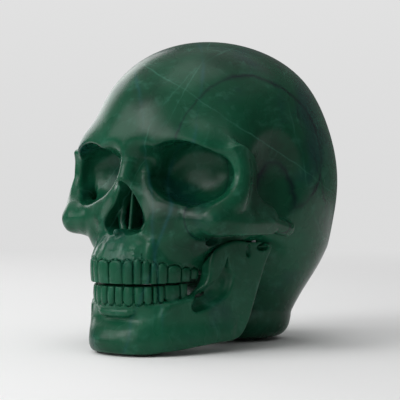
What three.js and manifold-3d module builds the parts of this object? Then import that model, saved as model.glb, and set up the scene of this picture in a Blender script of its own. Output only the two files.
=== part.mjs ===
import * as THREE from 'three';
import { mergeVertices } from 'three/addons/utils/BufferGeometryUtils.js';
import Module from 'manifold-3d';

// A cast resin skull that stands on its chin and on the foot under the back of its head.
// Millimetres, +Z up, the face toward -Y, the skull's own left toward +X. The cranium and the
// lower jaw are sculpted: soft forms are joined and carved in order, each with the width over
// which it melts into the ones before, and the surface where the sum is zero becomes a mesh.

// Driving sizes. Shares along X, Y and Z are shares of these three.
const faceBreadth = 100; // over the outer rims of the eye sockets
const standDepth = 100; // from the front of the chin to the rear foot
const browHeight = 100; // from the table to the brow

// Sizes that can be set by themselves
const bondGap = 0.3; // bond line between two castings, and round a pin
const biteGap = 0.4; // between the upper and the lower teeth
const padThickness = 1;
const padRadius = 4.5;
const pinRadius = 1.5;
const pinLength = 16;
const toothGroove = 0.9; // between two crowns
const crownBelly = 0.5; // of a crown before its corners
const gumDip = 1; // of the gum line between two crowns
const rowThickness = 7.5; // of a row of teeth, from face to tongue
const lowerSetBack = 1.5; // of the lower row behind the upper
const skullCell = 3.6; // mesh cell at the face
const jawCell = 3.1; // mesh cell of the lower jaw
const mergeReach = 0.00003; // within which two vertices are one

// Counts
const cellGrowth = 1.08; // from one row of cells to the next, behind the face
const pinSides = 12;
const padSides = 16;
const curveSteps = 4; // straight pieces between two points of an outline
const pullSteps = 3; // moves that bring a vertex onto the surface
const slopeParts = 5; // of a cell, over which a form's slope is felt

const meanSize = Math.cbrt(faceBreadth * standDepth * browHeight);
const mirrored = { left: 1, right: -1 }; // sign of X on each side of the skull
const castingFloor = padThickness + bondGap; // underside of both castings

const wasm = await Module();
wasm.setup();

// Shares to millimetres: a point or three radii, a length, a point of a side view or a plan
const place = ([x, y, z]) => [x * faceBreadth, y * standDepth, z * browHeight];
const length = (share) => share * meanSize;
const sidePoint = ([y, z]) => [y * standDepth, z * browHeight];
const frontPoint = ([x, z]) => [x * faceBreadth, z * browHeight];
const planPoint = ([x, y]) => [x * faceBreadth, y * standDepth];

// Joins and carvings with a soft edge of the given blend
function softMin(a, b, blend) {
  if (blend <= 0) return Math.min(a, b);
  const h = Math.max(blend - Math.abs(a - b), 0) / blend;
  return Math.min(a, b) - (h * h * h * blend) / 6;
}
const softMax = (a, b, blend) => -softMin(-a, -b, blend);

// A form is a function of (|x|, y, z) that is below zero inside the form.
class Sculpt {
  constructor() {
    this.steps = [];
  }
  join(form, blendShare = 0) {
    this.steps.push({ form, blend: length(blendShare), mix: softMin, sign: 1 });
  }
  carve(form, blendShare = 0) {
    this.steps.push({ form, blend: length(blendShare), mix: softMax, sign: -1 });
  }
  at = (x, y, z) => {
    let value = Infinity;
    for (const { form, blend, mix, sign } of this.steps) {
      value = mix(value, sign * form(Math.abs(x), y, z), blend);
    }
    return value;
  };
}

// Ellipsoid, turned about Z by a yaw in degrees
function ellipsoid(shares, yaw = 0) {
  const [cx, cy, cz] = place(shares.middle);
  const [rx, ry, rz] = place(shares.radii);
  const turn = THREE.MathUtils.degToRad(yaw);
  return (x, y, z) => {
    const u = (x - cx) * Math.cos(turn) + (y - cy) * Math.sin(turn);
    const v = (y - cy) * Math.cos(turn) - (x - cx) * Math.sin(turn);
    const w = z - cz;
    const near = Math.hypot(u / rx, v / ry, w / rz);
    const slope = Math.hypot(u / (rx * rx), v / (ry * ry), w / (rz * rz));
    return (near * (near - 1)) / Math.max(slope, Number.EPSILON);
  };
}

// Rod along a smooth line, whose radius goes evenly from point to point
function rod(shares, squeeze = 1) {
  const line = new THREE.CatmullRomCurve3(
    shares.line.map((share) => new THREE.Vector3(...place(share))), false, 'catmullrom',
  );
  const pieces = shares.line.length > 2 ? curveSteps * (shares.line.length - 1) : 1;
  const points = line.getPoints(pieces);
  const radii = points.map((_, i) => {
    const at = (i / pieces) * (shares.radii.length - 1);
    const low = Math.min(Math.floor(at), shares.radii.length - 2);
    return length(THREE.MathUtils.lerp(shares.radii[low], shares.radii[low + 1], at - low));
  });
  return (fullX, y, z) => {
    const x = fullX * squeeze;
    let nearest = Infinity;
    for (let i = 0; i < pieces; i++) {
      const [a, b] = [points[i], points[i + 1]];
      const dx = b.x - a.x;
      const dy = b.y - a.y;
      const dz = b.z - a.z;
      const along = (x - a.x) * dx + (y - a.y) * dy + (z - a.z) * dz;
      const t = THREE.MathUtils.clamp(along / (dx * dx + dy * dy + dz * dz), 0, 1);
      const away = Math.hypot(x - a.x - dx * t, y - a.y - dy * t, z - a.z - dz * t);
      nearest = Math.min(nearest, away - THREE.MathUtils.lerp(radii[i], radii[i + 1], t));
    }
    return nearest;
  };
}

// Signed distance to a smooth closed outline in the plane, below zero inside
function outline(points) {
  const curve = new THREE.CatmullRomCurve3(
    points.map(([u, v]) => new THREE.Vector3(u, v, 0)), true, 'catmullrom',
  );
  const ring = curve.getPoints(points.length * curveSteps).slice(1);
  return (u, v) => {
    let nearest = Infinity;
    let inside = false;
    for (let i = 0, j = ring.length - 1; i < ring.length; j = i++) {
      const [a, b] = [ring[i], ring[j]];
      const du = b.x - a.x;
      const dv = b.y - a.y;
      const t = THREE.MathUtils.clamp(
        ((u - a.x) * du + (v - a.y) * dv) / (du * du + dv * dv), 0, 1,
      );
      nearest = Math.min(nearest, Math.hypot(u - a.x - du * t, v - a.y - dv * t));
      if ((a.y > v) !== (b.y > v) && u < ((b.x - a.x) * (v - a.y)) / (b.y - a.y) + a.x) {
        inside = !inside;
      }
    }
    return inside ? -nearest : nearest;
  };
}

// Smooth curve of a value over a height or a length, through the given pairs
function profile(pairs) {
  const curve = new THREE.CatmullRomCurve3(
    pairs.map(([at, value]) => new THREE.Vector3(at, value, 0)), false, 'catmullrom',
  );
  const points = curve.getPoints(pairs.length * curveSteps);
  return (at) => {
    if (at <= points[0].x) return points[0].y;
    const next = points.findIndex((point) => point.x > at);
    if (next < 0) return points.at(-1).y;
    const [a, b] = [points[next - 1], points[next]];
    return THREE.MathUtils.lerp(a.y, b.y, (at - a.x) / (b.x - a.x));
  };
}
const heightProfile = (shares) =>
  profile(shares.map(([z, offset]) => [z * browHeight, length(offset)]));

// A dental arch seen from above, for one half: the distance out from it and the length along it
class Arch {
  constructor(shares) {
    const [[x, y]] = shares.slice(1);
    const marks = [[-x, y], ...shares].map(planPoint);
    const curve = new THREE.CatmullRomCurve3(
      marks.map((mark) => new THREE.Vector3(...mark, 0)), false, 'catmullrom',
    );
    const lead = 1 / shares.length; // the stretch on the other half
    const steps = curveSteps * shares.length;
    const stops = Array.from({ length: steps + 1 }, (_, i) => lead + ((1 - lead) * i) / steps);
    this.points = stops.map((stop) => curve.getPoint(stop));
    this.tangents = stops.map((stop) => curve.getTangent(stop));
    this.lengths = [0];
    for (let i = 1; i <= steps; i++) {
      this.lengths.push(this.lengths[i - 1] + this.points[i].distanceTo(this.points[i - 1]));
    }
    this.length = this.lengths.at(-1);
  }
  // Signed distance outward and length along at a point of the plan
  measure(x, y) {
    let nearest = Infinity;
    let found = [0, 0];
    for (let i = 0; i + 1 < this.points.length; i++) {
      const [a, b] = [this.points[i], this.points[i + 1]];
      const dx = b.x - a.x;
      const dy = b.y - a.y;
      const piece = Math.hypot(dx, dy);
      const t = THREE.MathUtils.clamp(
        ((x - a.x) * dx + (y - a.y) * dy) / (piece * piece), 0, 1,
      );
      const away = Math.hypot(x - a.x - dx * t, y - a.y - dy * t);
      if (away < nearest) {
        nearest = away;
        const outside = dx * (y - a.y) - dy * (x - a.x) < 0;
        found = [outside ? away : -away, this.lengths[i] + t * piece];
      }
    }
    return found;
  }
  // Point and direction of travel at a length along the arch
  at(along) {
    const next = Math.max(1, this.lengths.findIndex((done) => done >= along));
    const t = (along - this.lengths[next - 1]) / (this.lengths[next] - this.lengths[next - 1]);
    const [point, tangent] = [this.points, this.tangents].map((list) =>
      list[next - 1].clone().lerp(list[next], t));
    return { point, tangent: tangent.normalize() };
  }
}

// Shares of the two arches: the faces of the upper teeth, and the middle of the lower jaw's face
const toothArchShares = [
  [0, -0.759], [0.04, -0.756], [0.09, -0.744], [0.15, -0.71], [0.205, -0.655], [0.245, -0.585],
  [0.273, -0.5], [0.29, -0.41], [0.3, -0.33],
];
const jawArchShares = [
  [0, -0.728], [0.08, -0.722], [0.16, -0.693], [0.23, -0.625], [0.283, -0.53], [0.323, -0.42],
  [0.355, -0.3], [0.385, -0.19], [0.41, -0.08], [0.43, 0.04],
];
const toothArch = new Arch(toothArchShares);
const jawArch = new Arch(jawArchShares);

// Rows of teeth: widths as shares of the arch's half length, the gum line over the length
const upperWidthShares = [0.14, 0.093, 0.074, 0.072, 0.062, 0.091, 0.135, 0.1, 0.091];
const lowerWidthShares = [0.09, 0.1, 0.091, 0.077, 0.05, 0.062, 0.156, 0.082];
const lowerMiddleShare = 0.09; // the lower tooth that stands on the middle line
const biteShares = [[0, 0.349], [0.5, 0.35], [0.75, 0.354], [1, 0.372]];
const upperGumShares = [[0, 0.467], [0.25, 0.472], [0.5, 0.45], [0.75, 0.432], [1, 0.415]];
const lowerGumShares = [[0, 0.25], [0.4, 0.252], [0.75, 0.264], [1, 0.282]];
const alongArch = (shares) =>
  profile(shares.map(([along, z]) => [along * toothArch.length, z * browHeight]));
const biteHeight = alongArch(biteShares);
const upperGum = alongArch(upperGumShares);
const lowerGum = alongArch(lowerGumShares);

// Braincase: the vault, the fullness at its sides and back, the neck foot and the base
const vaultShares = { middle: [0, 0.06, 0.92], radii: [0.56, 0.71, 0.66] };
const sideFullnessShares = { middle: [0.2, 0.22, 0.86], radii: [0.37, 0.46, 0.46], blend: 0.16 };
const backFullnessShares = { middle: [0, 0.3, 0.66], radii: [0.49, 0.5, 0.5], blend: 0.14 };
const neckShares = { line: [[0, 0.3, 0.52], [0, 0.27, 0.16]], radii: [0.42, 0.24], blend: 0.1 };
const baseShares = { middle: [0, -0.05, 0.66], radii: [0.4, 0.5, 0.2], blend: 0.12 };
const templeShares = { middle: [0.65, -0.15, 0.84], radii: [0.195, 0.23, 0.31], blend: 0.08 };
const neckSqueeze = 0.92;
function sculptBraincase(cranium) {
  cranium.join(ellipsoid(vaultShares));
  cranium.join(ellipsoid(sideFullnessShares), sideFullnessShares.blend);
  cranium.join(ellipsoid(backFullnessShares), backFullnessShares.blend);
  cranium.join(rod(neckShares, neckSqueeze), neckShares.blend);
  cranium.join(ellipsoid(baseShares), baseShares.blend);
  cranium.carve(ellipsoid(templeShares), templeShares.blend);
}

// Brow, cut back beside the nose, with the bridge of the nose and the bone beside it
const browShares = { middle: [0.2, -0.42, 1], radii: [0.27, 0.17, 0.15], blend: 0.14 };
const noseSideShares = {
  plane: 0.402, lowWidening: 0.55, widensBelow: 0.89, highWidening: 0.3, fartherWidening: 6.5,
  widensAbove: 0.97, widensOutTo: 0.2, back: -0.505, side: 0.3, low: 0.72, top: 0.98,
  topRise: 0.3, risesTo: 0.16, tilt: 0.7, tiltFrom: 0.08, tiltTo: 0.18, planeRound: 0.02,
  sideRound: 0.03, endRound: 0.05, blend: 0.06,
};
const noseSideAngle = THREE.MathUtils.degToRad(38); // of the bone beside the nose to the middle
const bridgeShares = {
  line: [[0, -0.52, 1.05], [0, -0.573, 0.98], [0, -0.609, 0.91], [0, -0.636, 0.855]],
  radii: [0.08, 0.05, 0.037, 0.036],
  blend: 0.05,
};
const besideNoseShares = {
  line: [
    [0.055, -0.505, 1.01], [0.06, -0.525, 0.92], [0.082, -0.555, 0.84], [0.122, -0.56, 0.75],
    [0.145, -0.56, 0.65],
  ],
  radii: [0.042, 0.036, 0.036, 0.044, 0.05],
  blend: 0.045,
};
function sculptBrowAndNose(cranium) {
  cranium.join(ellipsoid(browShares), browShares.blend);
  const shares = noseSideShares;
  const lean = Math.hypot(1, shares.tilt);
  const notch = (x, y, z) => {
    const lower = Math.max(shares.widensBelow * browHeight - z, 0);
    const higher = Math.max(z - shares.widensAbove * browHeight, 0);
    const farther = shares.fartherWidening * Math.min(x / faceBreadth, shares.widensOutTo);
    const out = length(shares.plane) + shares.lowWidening * lower
      + (shares.highWidening + farther) * higher;
    const side = out - Math.cos(noseSideAngle) * x + Math.sin(noseSideAngle) * y;
    const behind = y - shares.back * standDepth;
    const edges = softMax(behind, x - shares.side * faceBreadth, length(shares.sideRound));
    const rise = shares.topRise * Math.min(x, shares.risesTo * faceBreadth);
    const inward = THREE.MathUtils.clamp(
      (shares.tiltTo - x / faceBreadth) / (shares.tiltTo - shares.tiltFrom), 0, 1,
    );
    const tilted = shares.tilt * inward * Math.min(behind, 0);
    const top = (z - shares.top * browHeight - rise + tilted) / lean;
    const ends = softMax(top, shares.low * browHeight - z, length(shares.planeRound));
    return softMax(softMax(side, edges, length(shares.planeRound)), ends, length(shares.endRound));
  };
  cranium.carve(notch, shares.blend);
  cranium.join(rod(bridgeShares), bridgeShares.blend);
  cranium.join(rod(besideNoseShares), besideNoseShares.blend);
}

// Side plate of the face: the pillar beside the socket, down to the cheekbone
const cheekPlateShares = [
  [-0.45, 1], [-0.38, 1.015], [-0.294, 0.97], [-0.273, 0.9], [-0.266, 0.8], [-0.218, 0.751],
  [-0.125, 0.709], [-0.092, 0.651], [-0.108, 0.598], [-0.17, 0.574], [-0.3, 0.582],
  [-0.43, 0.595], [-0.53, 0.61], [-0.57, 0.66], [-0.53, 0.72], [-0.47, 0.76], [-0.425, 0.82],
  [-0.405, 0.88], [-0.415, 0.945],
];
const plateShares = { out: 0.502, halfThickness: 0.036, flatTo: -0.36, round: 0.022, blend: 0.05 };
const plateBowShares = { over: 0.2, in: 0.088 };
const underSocketShares = {
  line: [
    [0.115, -0.515, 0.825], [0.175, -0.515, 0.755], [0.27, -0.52, 0.7], [0.36, -0.485, 0.675],
    [0.44, -0.42, 0.69],
  ],
  radii: [0.035, 0.04, 0.05, 0.05, 0.05],
  blend: 0.09,
};
const besideSocketShares = {
  line: [
    [0.38, -0.43, 1.04], [0.465, -0.4, 0.995], [0.512, -0.38, 0.92], [0.52, -0.38, 0.86],
    [0.525, -0.398, 0.805], [0.51, -0.425, 0.745], [0.47, -0.48, 0.69],
  ],
  radii: [0.034, 0.04, 0.041, 0.042, 0.046, 0.054, 0.055],
  blend: 0.06,
};
function sculptCheeks(cranium) {
  const edge = outline(cheekPlateShares.map(sidePoint));
  const plate = (x, y, z) => {
    const forward = Math.min(0, y - plateShares.flatTo * standDepth);
    const bow = (forward / (plateBowShares.over * standDepth)) ** 2;
    const middle = (plateShares.out - plateBowShares.in * bow) * faceBreadth;
    const face = Math.abs(x - middle) - plateShares.halfThickness * faceBreadth;
    return softMax(edge(y, z), face, length(plateShares.round));
  };
  cranium.join(plate, plateShares.blend);
  cranium.join(rod(underSocketShares), underSocketShares.blend);
  cranium.join(rod(besideSocketShares), besideSocketShares.blend);
}

// Upper jaw: its body and the ridge that carries the teeth
const upperJawShares = { middle: [0.14, -0.42, 0.62], radii: [0.23, 0.22, 0.22], blend: 0.08 };
const ridgeOffsetShares = [
  [0.34, -0.016], [0.42, -0.015], [0.48, -0.02], [0.54, -0.046], [0.6, -0.086],
  [0.67, -0.126], [0.76, -0.165],
];
const ridgeShares = {
  top: 0.76, bottom: 0.4, back: -0.36, thickness: 0.3, faceRound: 0.02, endRound: 0.05,
  backRound: 0.04, blend: 0.06,
};
function sculptUpperJaw(cranium) {
  cranium.join(ellipsoid(upperJawShares), upperJawShares.blend);
  const offset = heightProfile(ridgeOffsetShares);
  const shares = ridgeShares;
  const band = (x, y, z) => {
    const [out] = toothArch.measure(x, y);
    const inner = -(out + length(shares.thickness));
    const face = softMax(out - offset(z), inner, length(shares.faceRound));
    const ends = Math.max(z - shares.top * browHeight, shares.bottom * browHeight - z);
    const behind = y - shares.back * standDepth;
    return softMax(softMax(face, ends, length(shares.endRound)), behind, length(shares.backRound));
  };
  cranium.join(band, shares.blend);
}

// Cheekbone, the arch that runs back from it to its rounded end, the hollow before it and the
// bone behind the upper teeth
const cheekboneShares = { middle: [0.36, -0.48, 0.65], radii: [0.12, 0.09, 0.08], blend: 0.08 };
const cheekArchShares = {
  line: [[0.455, -0.505, 0.65], [0.49, -0.42, 0.646], [0.5, -0.29, 0.642], [0.493, -0.15, 0.646]],
  radii: [0.068, 0.064, 0.056, 0.052],
  blend: 0.05,
};
const archEndShares = {
  line: [[0.503, -0.14, 0.645], [0.5, -0.04, 0.622], [0.496, 0.03, 0.608]],
  radii: [0.046, 0.044, 0.042],
  blend: 0.012,
};
const cheekHollowShares = { middle: [0.27, -0.67, 0.6], radii: [0.09, 0.06, 0.09], blend: 0.07 };
const behindTeethShares = {
  line: [[0.27, -0.34, 0.43], [0.275, -0.29, 0.5]], radii: [0.05, 0.06], blend: 0.03,
};
const palateShares = { middle: [0, -0.16, 0.4], radii: [0.2, 0.26, 0.12], blend: 0.06 };
function sculptCheekbone(cranium) {
  cranium.join(ellipsoid(cheekboneShares), cheekboneShares.blend);
  cranium.join(rod(cheekArchShares), cheekArchShares.blend);
  cranium.join(rod(archEndShares), archEndShares.blend);
  cranium.carve(ellipsoid(cheekHollowShares), cheekHollowShares.blend);
  cranium.join(rod(behindTeethShares), behindTeethShares.blend);
  cranium.join(ellipsoid(palateShares), palateShares.blend);
}

// Eye sockets: steep walls behind the rim's outline, closed by a shallow bowl, and the hollow
// under the cheek arch
const socketRimShares = [
  [0.16, 1.016], [0.226, 1.034], [0.303, 1.036], [0.376, 1.016], [0.438, 0.98], [0.48, 0.932],
  [0.498, 0.88], [0.49, 0.82], [0.452, 0.77], [0.392, 0.736], [0.325, 0.726], [0.254, 0.742],
  [0.186, 0.778], [0.13, 0.824], [0.103, 0.87], [0.104, 0.925], [0.12, 0.975],
];
const socketShares = {
  rim: -0.52, rimTurn: 0.4, rimTurnFrom: 0.12, inward: 0.12, upward: 0.05, taper: 0.16,
  bowlBlend: 0.06, blend: 0.03,
};
const bowlShares = { middle: [0.285, -0.5, 0.9], radii: [0.25, 0.165, 0.205] };
const bowlYaw = 24; // degrees by which a socket's bowl turns outward
const underArchShares = { middle: [0.49, -0.23, 0.45], radii: [0.155, 0.32, 0.132], blend: 0.03 };
function carveSockets(cranium) {
  const rim = outline(socketRimShares.map(frontPoint));
  const bowl = ellipsoid(bowlShares, bowlYaw);
  const shares = socketShares;
  const socketForm = (x, y, z) => {
    const rimAt = shares.rim * standDepth + shares.rimTurn * (x - shares.rimTurnFrom * faceBreadth);
    const deep = Math.max(y - rimAt, 0);
    const wall = rim(x + shares.inward * deep, z - shares.upward * deep) + shares.taper * deep;
    return softMax(wall, bowl(x, y, z), length(shares.bowlBlend));
  };
  cranium.carve(socketForm, shares.blend);
  cranium.carve(ellipsoid(underArchShares), underArchShares.blend);
}

// Nose opening with its dividing wall, the two curled bones inside and the spine below
const noseRimShares = [
  [0, 0.84], [0.038, 0.795], [0.077, 0.735], [0.113, 0.68], [0.127, 0.64], [0.112, 0.607],
  [0.056, 0.589], [0, 0.604],
];
const noseShares = { rim: -0.62, back: -0.47, flare: 0.12, backRound: 0.03, blend: 0.014 };
const noseWallShares = {
  half: 0.013, thins: 0.1, thinsFrom: -0.63, front: -0.605, slope: 0.12, foot: 0.6, round: 0.015,
};
const curlShares = {
  line: [[0.088, -0.54, 0.72], [0.088, -0.555, 0.65], [0.066, -0.565, 0.605]],
  radii: [0.02, 0.02],
  blend: 0.015,
};
const spineShares = { line: [[0, -0.64, 0.58], [0, -0.695, 0.596]], radii: [0.03, 0.016], blend: 0.03 };
function carveNose(cranium) {
  const left = noseRimShares.slice(1, -1).reverse().map(([x, z]) => [-x, z]);
  const rim = outline([...noseRimShares, ...left].map(frontPoint));
  const wallShares = noseWallShares;
  const opening = (x, y, z) => {
    const flare = noseShares.flare * (y - noseShares.rim * standDepth);
    const behind = y - noseShares.back * standDepth;
    const hole = softMax(rim(x, z) + flare, behind, length(noseShares.backRound));
    const thinner = wallShares.thins * (y - wallShares.thinsFrom * standDepth);
    const face = x - wallShares.half * faceBreadth + thinner;
    const front = wallShares.front * standDepth
      + wallShares.slope * (z - wallShares.foot * browHeight);
    const wall = softMax(face, front - y, length(wallShares.round));
    return softMax(hole, -wall, length(wallShares.round));
  };
  cranium.carve(opening, noseShares.blend);
  cranium.join(rod(curlShares), curlShares.blend);
  cranium.join(rod(spineShares), spineShares.blend);
}

// Lower jaw: the body under the teeth, with the chin and the small step above it
const jawFaceShares = [
  [-0.04, -0.03], [0, -0.004], [0.05, 0.012], [0.11, 0.01], [0.18, -0.003], [0.26, 0],
  [0.32, -0.01],
];
const chinFaceShares = [
  [-0.04, 0], [0, 0.014], [0.07, 0.026], [0.13, 0.01], [0.19, -0.024], [0.27, 0.002],
];
const jawEdgeShares = [[0, 0.003], [0.18, 0.009], [0.38, 0.03], [0.62, 0.06], [1, 0.08]];
const jawBodyShares = { thickness: 0.1, top: 0.265, rise: 0.06, back: -0.24, round: 0.04 };
const chinHalfShare = 0.2;
const chinStepShares = {
  line: [[0, -0.713, 0.215], [0.07, -0.706, 0.215], [0.1, -0.694, 0.22]],
  radii: [0.024, 0.022, 0.016],
  blend: 0.025,
};
function sculptJawBody(jaw) {
  const face = heightProfile(jawFaceShares);
  const chin = heightProfile(chinFaceShares);
  const edge = profile(jawEdgeShares.map(([along, z]) => [along, z * browHeight]));
  const shares = jawBodyShares;
  const body = (x, y, z) => {
    const [out, along] = jawArch.measure(x, y);
    const share = along / jawArch.length;
    const fade = THREE.MathUtils.clamp(2 - 2 * share, 0, 1);
    const middle = Math.max(0, 1 - (x / (chinHalfShare * faceBreadth)) ** 2);
    const offset = face(z) * fade + chin(z) * middle;
    const thick = softMax(out - offset, -(out + length(shares.thickness)), length(shares.round));
    const top = z - (shares.top + shares.rise * share) * browHeight;
    const ends = softMax(thick, Math.max(top, edge(share) - z), length(shares.round));
    return softMax(ends, y - shares.back * standDepth, length(shares.round));
  };
  jaw.join(body);
  jaw.join(rod(chinStepShares), chinStepShares.blend);
}

// Upright branch of the lower jaw, with the hollow before its slanting ridge
const branchShares = [
  [-0.62, 0.05], [-0.46, 0.045], [-0.31, 0.053], [-0.21, 0.066], [-0.15, 0.14], [-0.094, 0.31],
  [-0.05, 0.44], [-0.01, 0.52], [-0.03, 0.565], [-0.14, 0.56], [-0.24, 0.57], [-0.31, 0.555],
  [-0.374, 0.52], [-0.396, 0.46], [-0.398, 0.4], [-0.42, 0.34], [-0.48, 0.29], [-0.62, 0.24],
];
const branchPlateShares = {
  halfThickness: 0.032, setBack: 0.022, level: 0.3, flare: 0.05, round: 0.026, blend: 0.03,
};
const hollowShares = {
  line: [
    [0.39, -0.275, 0.51], [0.388, -0.28, 0.45], [0.384, -0.295, 0.37], [0.37, -0.34, 0.29],
    [0.35, -0.395, 0.24], [0.328, -0.45, 0.205],
  ],
  radii: [0.016, 0.028, 0.06, 0.063, 0.05, 0.026],
  blend: 0.016,
};
const pitShares = {
  line: [[0.335, -0.365, 0.32], [0.32, -0.42, 0.275], [0.31, -0.46, 0.245]],
  radii: [0.04, 0.05, 0.03],
  blend: 0.02,
};
function sculptJawBranch(jaw) {
  const edge = outline(branchShares.map(sidePoint));
  const shares = branchPlateShares;
  const plate = (x, y, z) => {
    const [out] = jawArch.measure(x, y);
    const flare = shares.flare * (z - shares.level * browHeight);
    const face = Math.abs(out + length(shares.setBack) - flare) - length(shares.halfThickness);
    return softMax(edge(y, z), face, length(shares.round));
  };
  jaw.join(plate, shares.blend);
  jaw.carve(rod(hollowShares), hollowShares.blend);
  jaw.carve(rod(pitShares), pitShares.blend);
}

// Mesh lattice: even cells over the face, growing row by row behind it where the form is plain
const reachShares = {
  front: -0.82, even: -0.28, back: 0.9, side: 0.6, low: -0.03, middle: 0.78, high: 1.65,
};
function makeLattice(faceCell, growth) {
  const rows = [];
  let cell = faceCell;
  const { front, even, back, side, low, middle, high } = reachShares;
  for (let y = front * standDepth; y < back * standDepth + cell; y += cell) {
    if (y > even * standDepth) cell *= growth;
    rows.push({ y, cell });
  }
  const sideCells = Math.ceil((side * faceBreadth) / faceCell);
  const lowCells = Math.ceil(((middle - low) * browHeight) / faceCell);
  const highCells = Math.ceil(((high - middle) * browHeight) / faceCell);
  return {
    rows,
    sideCells,
    sizes: [2 * sideCells + 1, rows.length, lowCells + highCells + 1],
    at: (i, j, k) => {
      const { y, cell: step } = rows[j];
      return [(i - sideCells) * step, y, middle * browHeight + (k - lowCells) * step];
    },
  };
}
const skullLattice = makeLattice(skullCell, cellGrowth);
const jawLattice = makeLattice(jawCell, 1);

// Closed mesh of the surface where a form is zero: one vertex in each cell that the surface
// crosses, pulled onto it along the form's slope, and one square over each crossed edge
function meshOf(form, lattice) {
  const [sizeX, sizeY, sizeZ] = lattice.sizes;
  const index = (i, j, k) => (k * sizeY + j) * sizeX + i;
  const values = new Float64Array(sizeX * sizeY * sizeZ);
  for (let k = 0; k < sizeZ; k++) {
    for (let j = 0; j < sizeY; j++) {
      for (let i = 0; i <= lattice.sideCells; i++) {
        const value = form(...lattice.at(i, j, k)) || Number.EPSILON;
        values[index(i, j, k)] = value;
        values[index(sizeX - 1 - i, j, k)] = value;
      }
    }
  }
  uncross(values, index, lattice);
  const vertices = [];
  const cells = new Map();
  const cellVertex = (i, j, k) => {
    const key = index(i, j, k);
    if (!cells.has(key)) {
      cells.set(key, vertices.length / 3);
      const middle = cellMiddle(values, index, lattice, i, j, k);
      vertices.push(...pulled(form, middle, lattice.rows[j].cell));
    }
    return cells.get(key);
  };
  const faces = [];
  const square = (a, b, c, d, flip) => {
    faces.push(...(flip ? [a, c, b, a, d, c] : [a, b, c, a, c, d]));
  };
  for (let k = 1; k < sizeZ - 1; k++) {
    for (let j = 1; j < sizeY - 1; j++) {
      for (let i = 1; i < sizeX - 1; i++) {
        const here = values[index(i, j, k)] < 0;
        const v = (di, dj, dk) => cellVertex(i - di, j - dj, k - dk);
        if (here !== values[index(i + 1, j, k)] < 0) {
          square(v(0, 1, 1), v(0, 0, 1), v(0, 0, 0), v(0, 1, 0), !here);
        }
        if (here !== values[index(i, j + 1, k)] < 0) {
          square(v(1, 0, 1), v(1, 0, 0), v(0, 0, 0), v(0, 0, 1), !here);
        }
        if (here !== values[index(i, j, k + 1)] < 0) {
          square(v(1, 1, 0), v(0, 1, 0), v(0, 0, 0), v(1, 0, 0), !here);
        }
      }
    }
  }
  const geometry = new THREE.BufferGeometry();
  geometry.setAttribute('position', new THREE.Float32BufferAttribute(vertices, 3));
  geometry.setIndex(faces);
  return geometry;
}

// A lattice square whose corners are in, out, in, out would pinch the surface: one more is let in
function uncross(values, index, lattice) {
  const [sizeX, sizeY, sizeZ] = lattice.sizes;
  const steps = [[1, 0, 0], [0, 1, 0], [0, 0, 1]];
  let crossed = true;
  while (crossed) {
    crossed = false;
    for (let k = 0; k < sizeZ - 1; k++) {
      for (let j = 0; j < sizeY - 1; j++) {
        for (let i = 0; i < sizeX - 1; i++) {
          for (let axis = 0; axis < steps.length; axis++) {
            const [a, b] = [steps[axis], steps[(axis + 1) % steps.length]];
            const corners = [[0, 0], [1, 0], [1, 1], [0, 1]].map(([m, n]) =>
              index(i + m * a[0] + n * b[0], j + m * a[1] + n * b[1], k + m * a[2] + n * b[2]));
            const signs = corners.map((corner) => values[corner] < 0);
            if (signs[0] === signs[2] && signs[1] === signs[3] && signs[0] !== signs[1]) {
              const outer = corners.filter((_, n) => !signs[n]);
              outer.sort((m, n) => values[m] - values[n]);
              values[outer[0]] = -Number.EPSILON;
              crossed = true;
            }
          }
        }
      }
    }
  }
}

// Mean of the points where the surface crosses the twelve edges of a cell
function cellMiddle(values, index, lattice, i, j, k) {
  const sum = new THREE.Vector3();
  let count = 0;
  for (let corner = 0; corner < 8; corner++) {
    const low = [corner & 1, (corner >> 1) & 1, corner >> 2];
    for (let axis = 0; axis < 3; axis++) {
      if (low[axis]) continue;
      const high = low.map((n, m) => (m === axis ? 1 : n));
      const [a, b] = [low, high].map((n) => [i + n[0], j + n[1], k + n[2]]);
      const [atA, atB] = [values[index(...a)], values[index(...b)]];
      if (atA < 0 === atB < 0) continue;
      const from = new THREE.Vector3(...lattice.at(...a));
      const to = new THREE.Vector3(...lattice.at(...b));
      sum.add(from.lerp(to, atA / (atA - atB)));
      count++;
    }
  }
  return sum.divideScalar(count);
}

// Moves a point onto the form's surface, by no more than half a cell in all
function pulled(form, start, cell) {
  const point = start.clone();
  const probe = cell / slopeParts;
  for (let step = 0; step < pullSteps; step++) {
    const { x, y, z } = point;
    const value = form(x, y, z);
    const slope = new THREE.Vector3(
      form(x + probe, y, z) - form(x - probe, y, z),
      form(x, y + probe, z) - form(x, y - probe, z),
      form(x, y, z + probe) - form(x, y, z - probe),
    ).divideScalar(2 * probe);
    point.addScaledVector(slope, -value / Math.max(slope.lengthSq(), 0.25));
  }
  point.sub(start).clampLength(0, cell / 2).add(start);
  return point.toArray();
}

// Solids for joining and cutting, from closed geometries and back
function solidFrom(geometry) {
  const bare = geometry.clone();
  bare.deleteAttribute('normal');
  bare.deleteAttribute('uv');
  const closed = mergeVertices(bare, mergeReach);
  return new wasm.Manifold(new wasm.Mesh({
    numProp: 3,
    vertProperties: new Float32Array(closed.attributes.position.array),
    triVerts: new Uint32Array(closed.index.array),
  }));
}
function geometryFrom(solid) {
  const { vertProperties, triVerts } = solid.getMesh();
  const geometry = new THREE.BufferGeometry();
  geometry.setAttribute('position', new THREE.BufferAttribute(vertProperties, 3));
  geometry.setIndex(new THREE.BufferAttribute(triVerts, 1));
  geometry.computeVertexNormals();
  return geometry;
}

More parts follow.
